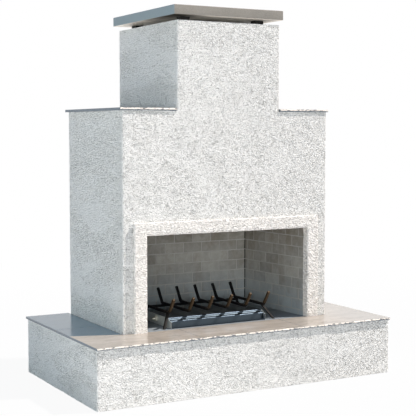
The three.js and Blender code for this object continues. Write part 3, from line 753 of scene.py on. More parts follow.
@dataclass(frozen=True)
class GrateSteel(Finish):
    """Oiled black steel, with painted light: bronze on the fingers in front and dark brown towards the
    front, fading to black behind.
    """

    black: str = "#141517"
    # Painted light: the brown that the bars take towards the front.
    worn: str = "#1b1917"
    painted_bronze_light: str = "#4d3e2d"
    blooms: Grain = Grain(90.0, 4.0, 0.65, 0.6, (0.5, 0.72))
    front_reach: Span = (-0.19, -0.07)
    finger_reach: Span = (0.386, 0.398)
    front_light_shares: Span = (0.8, 0.2)
    bronze_light_shares: Span = (0.75, 0.25)
    metallic: float = 0.3
    roughness: float = 0.62
    finger_gloss: float = 0.16
    bloom_roughness: float = 0.15
    specular: float = 0.12
    depth: float = 0.0006
    relief_share: float = 0.6

    def paint(self, board: NodeBoard) -> None:
        """Lays a mill grain, a dull bloom, and painted light: brown towards the front and bronze on the
        front fingers.

        Args:
            board: the material's node board.
        """
        bloom = board.grain(self.blooms)
        # Painted light: brown towards the front and bronze on the front fingers; the rear stays black as if
        # in shade.
        lit_front = board.at[Y].fall(*self.front_reach)
        finger = board.at[Z].step(*self.finger_reach)
        even, patchy = self.front_light_shares
        colour = board.blend(lit_front * even + bloom * patchy, self.black, self.worn)
        even, patchy = self.bronze_light_shares
        colour = board.blend(lit_front * finger * (even + bloom * patchy), colour, self.painted_bronze_light)
        board.surface(
            {
                "Base Color": colour,
                "Metallic": finger * self.metallic,
                "Roughness": self.roughness - finger * self.finger_gloss + bloom * self.bloom_roughness,
                "Specular IOR Level": self.specular,
                "Normal": board.bump(board.grain(MILL_GRAIN), self.depth, self.relief_share),
            }
        )


@dataclass(frozen=True)
class ReflectionBandSteel(Finish):
    """Polished stainless over a burner, with painted reflections: darker bands between bright streaks on its
    folds.
    """

    # Painted reflection: the bright streaks on the folds, and the darker bands between them, which smudges
    # also take.
    bright: str = "#454f59"
    tint: str = "#475159"
    plate: str = "#c4cac8"
    foot: float = 0.305
    soft: float = 0.004
    bands: tuple[Span, ...] = ((-0.004, 0.0275), (0.0385, 0.0455), (0.0535, 0.065))
    lip_reach: Span = (-0.2217, -0.2207)
    left_reach: Span = (-0.3313, -0.331)
    right_reach: Span = (0.235, 0.2353)
    wanders: Grain = Grain(16.0)
    wander: float = 0.004
    painted_band_share: float = 0.92
    smudge_share: float = 0.15
    plate_metallic: float = 0.3
    inside_metallic: float = 0.7
    roughness: float = 0.38
    smudge_roughness: float = 0.06
    brushed_roughness: float = 0.05
    tint_roughness: float = 0.06
    depth: float = 0.0002
    relief_share: float = 0.5

    def paint(self, board: NodeBoard) -> None:
        """Lays painted darker bands between painted bright streaks, with wandering borders, over a fine
        grain.

        Args:
            board: the material's node board.
        """
        rise = board.at[Z] + (board.grain(self.wanders) - NOISE_MIDDLE) * self.wander
        first, *others = (self._band(rise, *band) for band in self.bands)
        painted_bands = sum(others, first) * board.at[Y].step(*self.lip_reach)
        brushed = board.grain(BRUSHING)
        smudge = board.grain(SMUDGES)
        inside = board.at[X].step(*self.left_reach) * board.at[X].fall(*self.right_reach)
        colour = board.blend(painted_bands * self.painted_band_share, self.bright, self.tint)
        colour = board.blend(smudge * self.smudge_share, colour, self.tint)
        rough = self.roughness + smudge * self.smudge_roughness + brushed * self.brushed_roughness
        board.surface(
            {
                "Base Color": board.blend(inside, self.plate, colour),
                "Metallic": inside * self.inside_metallic + self.plate_metallic,
                "Roughness": rough + painted_bands * self.tint_roughness,
                "Normal": board.bump(brushed, self.depth, self.relief_share),
            }
        )

    def _band(self, rise: Wire, low: float, high: float) -> Wire:
        """Gives 1 between two heights over the pan's foot.

        Args:
            rise: the height of the place.
            low: where the band starts.
            high: where it ends.

        Returns:
            1 in the band and 0 outside it.
        """
        start, end = self.foot + low, self.foot + high
        above = rise.step(start - self.soft, start + self.soft)
        return above * rise.fall(end - self.soft, end + self.soft)


@dataclass(frozen=True)
class Spangle(Finish):
    """Hot-dip galvanised sheet with its crystal spangle."""

    bright: str = "#b9bec1"
    dull: str = "#9aa0a4"
    crystals: float = 85.0
    metallic: float = 0.9
    roughness: float = 0.32
    spread: float = 0.25

    def paint(self, board: NodeBoard) -> None:
        """Gives each crystal a tone and a gloss.

        Args:
            board: the material's node board.
        """
        sockets = {"Vector": board.place, "Scale": self.crystals}
        tone = board.axes(board.wire("ShaderNodeTexVoronoi", None, sockets, "Color"))[X]
        colour = board.blend(tone, self.bright, self.dull)
        rough = self.roughness + tone * self.spread
        board.surface({"Base Color": colour, "Metallic": self.metallic, "Roughness": rough})


BODY_STUCCO = Stucco("body_stucco")
TRIM_STUCCO = Stucco(
    "trim_stucco",
    "#f0ece7",
    # The colour of the painted shade in the trim's pits, strokes and cracks.
    "#aca69e",
    "#e5ddd2",
    sand=160.0,
    depth=0.0075,
    contrast=0.3,
    smooth_front=0.1,
    smooth_sides=0.1,
)
TILE = Porcelain("porcelain_tile")
HEWN = HewnEdge("hewn_tile_edge")
GROUT = Grout("tile_grout")
CAP = CapStone("honed_cap_stone")
BRICK = FireBrick("refractory_brick")
MORTAR = Masonry("pale_mortar", "#aaa8a3", "#999792", scale=90.0)
FLOOR_SLAB = Masonry("firebox_floor_slab", "#7f868b", "#71787d", scale=50.0)
BOARD = Masonry("cement_board", "#a9a9a4", "#94948f", scale=40.0)
DOME = Masonry("precast_refractory", "#8d8780", "#6e6862", scale=45.0, depth=0.002)
GALVANISED = Spangle("galvanised_sheet")
OILED_STEEL = GrateSteel("oiled_black_steel")
POST_STEEL = Steel("painted_black_steel", "#151412", "#0d0c0b", 0.0, 0.5, depth=0.0003)
STAINLESS = Steel("brushed_stainless", "#ccd2d6", "#b5bcc2", roughness=0.13, grain=BRUSHING)
PAN_STEEL = ReflectionBandSteel("stainless_painted_reflection_bands")
BRASS = Steel("plated_brass", "#dbd9cd", "#bfbdb0", 0.5, 0.3, 0.1, FINE_GRAIN)


class Slot(Enum):
    """The record's material slots."""

    STUCCO = "stucco"
    TRIM = "trim_stucco"
    TILE = "tile"
    CAP = "capstone"
    BRICK = "brick"
    BLACK_STEEL = "black_steel"
    STAINLESS = "stainless"
    BRASS = "brass"


class Side(Enum):
    """The sides along X, seen from the front."""

    LEFT = -1
    RIGHT = 1

    @property
    def word(self) -> str:
        """Gives the side's word in the names of nodes and pieces."""
        return self.name.lower()

    def ends(self, low: Vector, high: Vector) -> Span:
        """Gives the near and the far end of a box on this side, seen from the middle."""
        return (high.x, low.x) if self is Side.LEFT else (low.x, high.x)


def set_out(
    name: str,
    bm: Mesh,
    finishes: Sequence[Finish],
    nodes: Sequence[str] = (),
    crease: float | None = None,
) -> None:
    """Makes a mesh into a finished piece of the object.

    Args:
        name: the piece's name.
        bm: its mesh in place, which is freed.
        finishes: materials in the order of the faces' material numbers.
        nodes: CAD nodes that it stands for.
        crease: the angle in degrees past which an edge stays sharp, or None for flat faces.
    """
    mesh = bpy.data.meshes.new(name)
    bm.to_mesh(mesh)
    bm.free()
    for finish in finishes:
        mesh.materials.append(material_of(finish))
    if crease is not None:
        mesh.shade_smooth()
        mesh.set_sharp_from_angle(angle=math.radians(crease))
    made = link(name, mesh)
    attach(made, BODY)
    if nodes:
        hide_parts(*nodes)
    LOG.info("%s: %d faces, stands for %s", name, len(mesh.polygons), ", ".join(nodes) or "nothing")


def link(name: str, data: bpy.types.ID) -> bpy.types.Object:
    """Makes an object of a mesh, a camera or a lamp and puts it in the scene.

    Args:
        name: the object's name.
        data: what it shows.

    Returns:
        The object.
    """
    made = bpy.data.objects.new(name, data)
    bpy.context.scene.collection.objects.link(made)
    return made


def add_block(bm: Mesh, low: Sequence[float], high: Sequence[float]) -> list[Vert]:
    """Adds a box between two corners.

    Args:
        bm: the mesh.
        low: its lowest corner.
        high: its highest corner.

    Returns:
        Its vertices.
    """
    centre = (Vector(low) + Vector(high)) / 2
    size = Vector(high) - Vector(low)
    matrix = Matrix.Translation(centre) @ Matrix.Diagonal((*size, 1.0))
    return bmesh.ops.create_cube(bm, size=1.0, matrix=matrix)["verts"]


def upright_grid(x_stops: Sequence[float], z_stops: Sequence[float], y: float) -> Mesh:
    """Starts a mesh with an upright grid.

    Args:
        x_stops: where its upright lines stand.
        z_stops: where its level lines run.
        y: its plane.

    Returns:
        The mesh.
    """
    bm = bmesh.new()
    columns, rows = len(x_stops) - 1, len(z_stops) - 1
    bmesh.ops.create_grid(bm, x_segments=columns, y_segments=rows, size=1.0)
    for vert in bm.verts:
        column = round((vert.co.x + 1) / 2 * columns)
        row = round((vert.co.y + 1) / 2 * rows)
        vert.co = Vector((x_stops[column], y, z_stops[row]))
    return bm


def carry(bm: Mesh, grown: Mapping[str, Sequence[object]], run: Triple) -> None:
    """Moves the vertices in an extrusion's result along a run."""
    moved = [item for item in grown["geom"] if isinstance(item, Vert)]
    bmesh.ops.translate(bm, verts=moved, vec=run)


def thicken(bm: Mesh, faces: Sequence[Face], run: Triple) -> None:
    """Extrudes faces along a run and keeps them as the other side."""
    carry(bm, bmesh.ops.extrude_face_region(bm, geom=faces, use_keep_orig=True), run)


def face_outwards(bm: Mesh) -> None:
    """Turns every face outwards."""
    bmesh.ops.recalc_face_normals(bm, faces=bm.faces[:])


def cut_away(bm: Mesh, unwanted: FaceTest) -> None:
    """Deletes some faces with the edges and vertices that only they have."""
    bmesh.ops.delete(bm, geom=[face for face in bm.faces if unwanted(face)], context="FACES")


def round_edges(bm: Mesh, edges: Iterable[Edge], width: float, segments: int) -> None:
    """Bevels edges to a rounded profile.

    Args:
        bm: the mesh.
        edges: what to round.
        width: offset of the bevel.
        segments: facets across it.
    """
    bmesh.ops.bevel(
        bm,
        geom=list(edges),
        offset=width,
        offset_type="OFFSET",
        segments=segments,
        profile=0.5,
        affect="EDGES",
        clamp_overlap=True,
        material=-1,
    )


def runs_along(edge: Edge, axis: int, shortest: float = 0.011) -> bool:
    """Tells whether an edge runs along an axis and isn't a short one of a bevel."""
    run = edge.verts[1].co - edge.verts[0].co
    return run.length > shortest and abs(run[axis]) > ALONG_SHARE * run.length


def middle_along(edge: Edge, axis: int) -> float:
    """Gives the place of an edge's middle along an axis."""
    return (edge.verts[0].co[axis] + edge.verts[1].co[axis]) / 2


def lies_at(edge: Edge, axis: int, place: float) -> bool:
    """Tells whether both ends of an edge are at a place along an axis."""
    return all(abs(vert.co[axis] - place) < MERGE for vert in edge.verts)


def within(at: Vector, half_width: float, top: float) -> bool:
    """Tells whether a place is in an opening that stands in the middle, seen from the front."""
    return abs(at.x) < half_width and at.z < top


def is_corner(edge: Edge, angle: float = CORNER_ANGLE) -> bool:
    """Tells whether two faces meet in an edge at more than an angle in radians."""
    return len(edge.link_faces) == 2 and edge.calc_face_angle(0.0) > angle


def divide(bm: Mesh, wanted: FaceTest, stops: Mapping[int, Sequence[float]], pitch: float) -> None:
    """Cuts the edges of some faces along one axis after another, evenly between each two stops.

    Args:
        bm: the mesh.
        wanted: tells whose edges are cut.
        stops: for each axis, the places where the coarse mesh has its lines.
        pitch: length of the new edges.
    """
    for axis, places in stops.items():
        for low, high in zip(places, places[1:]):
            cuts = max(0, round((high - low) / pitch) - 1)
            edges = {
                edge
                for face in bm.faces
                if wanted(face)
                for edge in face.edges
                if runs_along(edge, axis) and low < middle_along(edge, axis) < high
            }
            if cuts and edges:
                bmesh.ops.subdivide_edges(bm, edges=list(edges), cuts=cuts, use_grid_fill=True)


def displace(
    bm: Mesh,
    wanted: FaceTest,
    relief: Callable[[Vector], float],
    held: Callable[[Vector], bool] = lambda place: False,
) -> None:
    """Moves the vertices of some faces along those faces' normals.

    Args:
        bm: the mesh.
        wanted: tells which faces are worked.
        relief: how far out a place moves.
        held: tells which places stay.
    """
    bm.normal_update()
    normals: dict[Vert, Vector] = {}
    for face in bm.faces:
        if wanted(face):
            for vert in face.verts:
                normals[vert] = normals.get(vert, Vector()) + face.normal
    for vert, normal in normals.items():
        if not held(vert.co):
            vert.co += normal.normalized() * relief(vert.co)


@dataclass
class StuccoCoats:
    """The stucco on plinth and tower, and the raised band round the fire opening."""

    coat: float = 0.014
    arris: float = 0.005
    trim_arris: float = 0.004
    arris_facets: int = 2
    seam: float = 0.0003
    pitch: float = 0.0075
    wide_pitch: float = 0.009
    fine_pitch: float = 0.005
    waves: tuple[Span, ...] = ((7.0, 0.0010), (28.0, 0.0009), (70.0, 0.0007))
    trim_waves: tuple[Span, ...] = ((22.0, 0.0008), (75.0, 0.0010), (130.0, 0.0007))
    sunk: float = 0.0004
    crease: float = 60.0

    def build(self) -> None:
        """Builds the three coats."""
        self.plinth()
        self.tower()
        self.surround()

    def _relief(self, waves: Sequence[Span]) -> Callable[[Vector], float]:
        """Gives the float's waves, from pairs of features per metre and height."""
        return lambda place: sum(height * noise.noise(place * scale) for scale, height in waves) - self.sunk

    def _on_skin(self, at: Vector, low: Vector, high: Vector, half_width: float) -> bool:
        """Tells whether a place is on the outer skin of a coat between two corners."""
        from_middle = abs(at.y - (low.y + high.y) / 2)
        return max(abs(at.x) - half_width, from_middle - (high.y - low.y) / 2) > -self.arris

    def plinth(self) -> None:
        """Builds the coat round the hearth plinth."""
        low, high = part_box("hearth_stucco")
        bm = bmesh.new()
        add_block(bm, low, high)
        cut_away(bm, lambda face: abs(face.normal.z) > STEEP)
        round_edges(bm, [e for e in bm.edges if runs_along(e, Z)], self.arris, self.arris_facets)
        bmesh.ops.solidify(bm, geom=bm.faces[:], thickness=self.coat)

        def outside(face: Face) -> bool:
            """Tells whether a face is on the outer skin."""
            return self._on_skin(face.calc_center_median(), low, high, high.x)

        divide(bm, outside, {Z: (low.z, high.z), X: (low.x, high.x), Y: (low.y, high.y)}, self.pitch)
        displace(bm, outside, self._relief(self.waves))
        set_out("plinth_coat", bm, [BODY_STUCCO], ["hearth_stucco"], self.crease)

    def tower(self) -> None:
        """Builds the coat of the tower's body and chimney, with the hole of the fire opening."""
        low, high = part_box("tower_stucco")
        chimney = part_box("chimney_cover")[1].x + self.coat
        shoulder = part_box("shoulder_board_left")[1].z
        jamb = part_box("jamb_board_right")
        opening = jamb[0].x
        head = jamb[1].z
        x_stops = (low.x, -opening, -chimney, chimney, opening, high.x)
        z_stops = (low.z, head, shoulder, high.z)

        def beside(face: Face) -> bool:
            """Tells which cells are over the shoulders, beside the chimney."""
            at = face.calc_center_median()
            return at.z > shoulder and abs(at.x) > chimney

        def in_opening(at: Vector) -> bool:
            """Tells whether a place is in the fire opening."""
            return at.y < low.y + MERGE and within(at, opening, head)

        def outside(face: Face) -> bool:
            """Tells whether a face is on the outer skin."""
            at = face.calc_center_median()
            return self._on_skin(at, low, high, chimney if at.z > shoulder else high.x)

        bm = upright_grid(x_stops, z_stops, low.y)
        cut_away(bm, beside)
        thicken(bm, bm.faces[:], (0, high.y - low.y, 0))
        face_outwards(bm)
        cut_away(bm, lambda face: abs(face.normal.z) > STEEP or in_opening(face.calc_center_median()))
        corners = [e for e in bm.edges if runs_along(e, Z) and is_corner(e)]
        round_edges(bm, corners, self.arris, self.arris_facets)
        bmesh.ops.solidify(bm, geom=bm.faces[:], thickness=self.coat)
        divide(bm, outside, {Z: z_stops, X: x_stops}, self.pitch)
        divide(bm, outside, {Y: (low.y, high.y)}, self.wide_pitch)
        displace(bm, outside, self._relief(self.waves))
        set_out("tower_coat", bm, [BODY_STUCCO], ["tower_stucco"], self.crease)

    def surround(self) -> None:
        """Builds the raised band and its return into the firebox."""
        low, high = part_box("firebox_surround")
        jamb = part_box("jamb_board_right")
        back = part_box("tower_stucco")[0].y - self.seam
        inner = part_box("firebox_floor")[1].x - self.coat + self.seam
        outer = jamb[0].x - self.seam
        top = jamb[1].z
        head = top - self.coat
        x_stops = (low.x, -outer, -inner, inner, outer, high.x)
        z_stops = (low.z, head, top, high.z)

        def hollow(face: Face) -> bool:
            """Tells which cells are the opening."""
            return within(face.calc_center_median(), inner, head)

        def returns(face: Face) -> bool:
            """Tells which cells at the band's back run on into the firebox."""
            at = face.calc_center_median()
            return abs(at.y - back) < MERGE and abs(face.normal.y) > STEEP and within(at, outer, top)

        def on_rim(edge: Edge) -> bool:
            """Tells whether an edge bounds the band's front, but not at its foot."""
            return lies_at(edge, Y, low.y) and is_corner(edge) and not lies_at(edge, Z, low.z)

        def hidden(at: Vector) -> bool:
            """Tells whether a place is behind the band and not on the return's inner side."""
            return at.y > back - self.seam and not within(at, inner + MERGE, head + MERGE)

        def worked(face: Face) -> bool:
            """Tells whether a face shows."""
            at = face.calc_center_median()
            return not hidden(at) and at.z > low.z + MERGE

        bm = upright_grid(x_stops, z_stops, low.y)
        cut_away(bm, hollow)
        thicken(bm, bm.faces[:], (0, back - low.y, 0))
        bm.normal_update()
        ring = [face for face in bm.faces if returns(face)]
        carry(bm, bmesh.ops.extrude_face_region(bm, geom=ring), (0, high.y - back, 0))
        face_outwards(bm)
        bm.normal_update()
        round_edges(bm, [e for e in bm.edges if on_rim(e)], self.trim_arris, self.arris_facets)
        stops = {Z: z_stops, X: x_stops, Y: (low.y, back, high.y)}
        divide(bm, lambda face: True, stops, self.fine_pitch)
        displace(bm, worked, self._relief(self.trim_waves), lambda place: place.z < low.z + MERGE)
        set_out("surround_coat", bm, [TRIM_STUCCO], ["firebox_surround"], self.crease)


@dataclass(frozen=True)
class EdgeNoise:
    """Noise along a hewn edge, which differs from one height of tile to the next.

    Attributes:
        along: features per metre along the edge.
        upward: features over the edge's height.
        by_foot: how far the height of the tile moves the pattern.
        start: where the pattern starts.
    """

    along: float
    upward: float
    by_foot: float
    start: float = 0.0

    def at(self, x: float, share: float, foot: float) -> float:
        """Reads the noise at a place along the edge, a share of its height and the tile's foot."""
        return noise.noise(Vector((x * self.along, share * self.upward, foot * self.by_foot + self.start)))


@dataclass
class TileWork:
    """The porcelain tiles, whose front edges are hewn, and the grout between them."""

    ease: float = 0.001
    ease_facets: int = 2
    chip_pitch: float = 0.003
    rows: int = 5
    nose_share: float = 0.5
    nose_overlap: float = 0.1
    breaks: EdgeNoise = EdgeNoise(55.0, 1.7, 9.0)
    chips: EdgeNoise = EdgeNoise(23.0, 0.8, 5.0, 3.0)
    crumbs: EdgeNoise = EdgeNoise(160.0, 4.0, 7.0, 9.0)
    chip_start: float = 0.12
    lean_above: float = 0.0042
    lean_power: float = 1.5
    lean_below: float = 0.009
    break_depth: float = 0.0016
    chip_depth: float = 0.012
    crumb_depth: float = 0.0006
    crumb_rise: float = 0.0009
    wear_share: float = 0.15
    crease: float = 12.0
    grout_drop: float = 0.0008
    grout_setback: float = 0.006
    shoulder_setback: float = 0.004
    grout_ease: float = 0.0004
    chimney_coat: float = 0.0143

    def build(self) -> None:
        """Builds the tiles and the grout."""
        centre = "hearth_tile_front_centre"
        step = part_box(centre)[1].y
        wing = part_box("hearth_tile_rear_right")[0].x
        self.hewn("tile_front_centre", centre, self._rectangle(centre))
        for side in Side:
            node = f"hearth_tile_front_{side.word}"
            low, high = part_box(node)
            near, far = side.ends(low, high)
            inner = side.value * wing
            front = [(near, low.y), (far, low.y), (far, high.y)]
            plan = [*front, (inner, high.y), (inner, step), (near, step)]
            self.hewn(f"tile_front_{side.word}", node, plan)
            shoulder = f"shoulder_tile_{side.word}"
            self.hewn(f"tile_shoulder_{side.word}", shoulder, self._rectangle(shoulder))
            rear = f"hearth_tile_rear_{side.word}"
            bm = self._slab(rear, self._rectangle(rear), False)
            set_out(f"tile_rear_{side.word}", bm, [TILE], [rear])
        self.grout()

    @staticmethod
    def _rectangle(node: str) -> list[Span]:
        """Gives the plan of a rectangular tile."""
        low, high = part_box(node)
        return [(low.x, low.y), (high.x, low.y), (high.x, high.y), (low.x, high.y)]

    def _slab(self, node: str, plan: Sequence[Span], hewn: bool) -> Mesh:
        """Raises a tile's plan and eases its edges.

        Args:
            node: the CAD node of the tile.
            plan: corners in order.
            hewn: leaves the front edge sharp.

        Returns:
            The slab's mesh.
        """
        low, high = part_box(node)
        bm = bmesh.new()
        face = bm.faces.new([bm.verts.new((x, y, low.z)) for x, y in plan])
        thicken(bm, [face], (0, 0, high.z - low.z))
        face_outwards(bm)

        def at_front(edge: Edge) -> bool:
            """Tells whether an edge ends at the front face."""
            return any(abs(vert.co.y - low.y) < MERGE for vert in edge.verts)

        eased = [edge for edge in bm.edges if not (hewn and at_front(edge))]
        round_edges(bm, eased, self.ease, self.ease_facets)
        return bm

    def hewn(self, name: str, node: str, plan: Sequence[Span]) -> None:
        """Builds a tile whose front edge is split and chipped.

        Args:
            name: the piece's name.
            node: the CAD node that it replaces.
            plan: corners in order.
        """
        low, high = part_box(node)
        thickness = high.z - low.z
        bm = self._slab(node, plan, True)
        bm.normal_update()

        def in_front(face: Face) -> bool:
            """Tells whether a face is in the front edge."""
            return face.normal.y < -ALONG_SHARE and face.calc_center_median().y < low.y + MERGE

        rise = {e for f in bm.faces if in_front(f) for e in f.edges if runs_along(e, Z, thickness / 2)}
        bmesh.ops.subdivide_edges(bm, edges=list(rise), cuts=self.rows, use_grid_fill=True)
        bm.normal_update()
        divide(bm, in_front, {X: (low.x - MERGE, high.x + MERGE)}, self.chip_pitch)
        bm.normal_update()
        front = [face for face in bm.faces if in_front(face)]
        split_from = low.z + thickness * (self.nose_share - self.nose_overlap)
        # Faces below the nose take the tile's finish, whose painted shade darkens the foot of the edge;
        # faces above take the hewn finish.
        for face in front:
            face.material_index = int(face.calc_center_median().z > split_from)
        for vert in {vert for face in front for vert in face.verts}:
            self._split(vert, (vert.co.z - low.z) / thickness, low.z)
        set_out(name, bm, [TILE, HEWN], [node], self.crease)

    def _split(self, vert: Vert, share: float, foot: float) -> None:
        """Moves a vertex of the front edge back to where the stone has split.

        Args:
            vert: the vertex.
            share: how far up the edge it is.
            foot: the height of the tile's underside.
        """
        rough = NOISE_MIDDLE + NOISE_MIDDLE * self.breaks.at(vert.co.x, share, foot)
        chip = max(0.0, self.chips.at(vert.co.x, share, foot) - self.chip_start)
        crumb = self.crumbs.at(vert.co.x, share, foot)
        above = max(0.0, share - self.nose_share)
        below = max(0.0, self.nose_share - share)
        lean = self.lean_above * above**self.lean_power + self.lean_below * below
        worn = self.break_depth * rough + self.chip_depth * chip + self.crumb_depth * crumb
        vert.co.y += max(0.0, lean + worn * (self.wear_share + above))
        if 0 < share < 1:
            vert.co.z += self.crumb_rise * crumb

    def grout(self) -> None:
        """Fills the joints of the hearth and the shoulders."""
        centre_low, centre_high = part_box("hearth_tile_front_centre")
        tower_low, tower_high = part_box("tower_stucco")
        floor_low, floor_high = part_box("firebox_floor")
        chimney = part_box("chimney_cover")[1].x + self.chimney_coat
        rise = (centre_low.z, centre_high.z - self.grout_drop)
        bm = bmesh.new()
        for side in Side:
            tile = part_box(f"hearth_tile_front_{side.word}")
            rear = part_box(f"hearth_tile_rear_{side.word}")
            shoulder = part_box(f"shoulder_tile_{side.word}")
            across = (side.ends(*tile)[0], side.ends(centre_low, centre_high)[1])
            self._strip(bm, across, (centre_low.y + self.grout_setback, centre_high.y), rise)
            self._strip(bm, side.ends(*rear), (tile[1].y, rear[0].y), rise)
            across = (side.value * tower_high.x, side.ends(*rear)[0])
            self._strip(bm, across, (centre_high.y, tower_high.y), rise)
            across = (side.value * chimney, side.ends(*shoulder)[0])
            shoulder_rise = (shoulder[0].z, shoulder[1].z - self.grout_drop)
            self._strip(bm, across, (tower_low.y + self.shoulder_setback, tower_high.y), shoulder_rise)
        self._strip(bm, (floor_low.x, floor_high.x), (centre_high.y, floor_low.y), rise)
        set_out("joint_grout", bm, [GROUT])

    def _strip(self, bm: Mesh, across: Span, along: Span, rise: Span) -> None:
        """Adds one run of grout, eased along its top.

        Args:
            bm: the grout's mesh.
            across: its ends along X, in either order.
            along: its ends along Y.
            rise: its foot and its top.
        """
        left, right = sorted(across)
        verts = add_block(bm, (left, along[0], rise[0]), (right, along[1], rise[1]))
        edges = {edge for vert in verts for edge in vert.link_edges}
        top = [edge for edge in edges if all(vert.co.z > rise[1] - MERGE for vert in edge.verts)]
        round_edges(bm, top, self.grout_ease, 1)


@dataclass
class EasedCopies:
    """CAD pieces whose shape is right and only need eased edges. Its angles are in degrees."""

    join_angle: float = 1.0
    sharp_angle: float = 25.0
    facets: int = 2
    stone_ease: float = 0.0012
    post_ease: float = 0.0012
    bar_ease: float = 0.0011
    fitting_ease: float = 0.0005

    def build(self) -> None:
        """Builds the eased cap, posts, grate and gas inlet."""
        oiled = (OILED_STEEL, Slot.BLACK_STEEL)
        painted = (POST_STEEL, Slot.BLACK_STEEL)
        self.ease("cap_stone", "cap_slab", self.stone_ease, CAP, Slot.CAP)
        for row in ("front", "back"):
            for side in Side:
                corner = f"{row}_{side.word}"
                self.ease(f"post_{corner}", f"cap_post_{corner}", self.post_ease, *painted)
                self.ease(f"grate_foot_{corner}", f"grate_leg_{corner}", self.bar_ease, *oiled)
        for number in GRATE_BARS:
            self.ease(f"grate_rod_{number}", f"grate_bar_{number}", self.bar_ease, *oiled)
        self.ease("grate_rear_rod", "grate_cross_bar", self.bar_ease, *oiled)
        self.ease("inlet_fitting", "gas_inlet", self.fitting_ease, BRASS, Slot.BRASS)

    def ease(self, name: str, node: str, width: float, finish: Finish, slot: Slot) -> None:
        """Copies a CAD node, merges its triangles and rounds its sharp edges.

        Args:
            name: the new piece's name.
            node: the CAD node that it is copied from and replaces.
            width: offset of the rounding.
            finish: its finish.
            slot: the record's slot; not used.
        """
        bm = bmesh.new()
        bm.from_mesh(bpy.data.objects[node].data)
        bmesh.ops.remove_doubles(bm, verts=bm.verts[:], dist=MERGE)
        flat = math.radians(self.join_angle)
        bmesh.ops.dissolve_limit(bm, angle_limit=flat, verts=bm.verts[:], edges=bm.edges[:])
        bm.normal_update()
        sharp = [edge for edge in bm.edges if is_corner(edge, math.radians(self.sharp_angle))]
        round_edges(bm, sharp, width, self.facets)
        set_out(name, bm, [finish], [node], self.sharp_angle)


@dataclass
class GrateWelds:
    """Weld beads where the grate's bars meet the rear bar and the legs."""

    radius: float = 0.0042
    sizes: Span = (0.8, 1.15)
    flattening: Triple = (1.1, 0.8, 0.6)
    leg_setback: float = 0.006
    crease: float = 40.0
    rng: random.Random = field(default_factory=lambda: random.Random(5))

    def build(self) -> None:
        """Puts a flattened bead at each crossing."""
        cross_low, cross_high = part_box("grate_cross_bar")
        bars = [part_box(f"grate_bar_{number}") for number in GRATE_BARS]
        bm = bmesh.new()
        for low, high in bars:
            for x in (low.x, high.x):
                for y in (cross_low.y, cross_high.y):
                    self._bead(bm, (x, y, cross_high.z))
        for side, bar in zip(Side, (bars[0], bars[-1])):
            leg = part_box(f"grate_leg_front_{side.word}")[1]
            self._bead(bm, (side.ends(*bar)[1], leg.y - self.leg_setback, leg.z))
        set_out("grate_welds", bm, [OILED_STEEL], crease=self.crease)

    def _bead(self, bm: Mesh, place: Triple) -> None:
        """Adds one bead, a squashed ball of uneven size.

        Args:
            bm: the welds' mesh.
            place: its middle.
        """
        size = self.radius * self.rng.uniform(*self.sizes)
        matrix = Matrix.Translation(place) @ Matrix.Rotation(self.rng.uniform(0, math.tau), 4, "Z")
        matrix = matrix @ Matrix.Diagonal((*self.flattening, 1.0))
        bmesh.ops.create_icosphere(bm, subdivisions=2, radius=size, matrix=matrix)


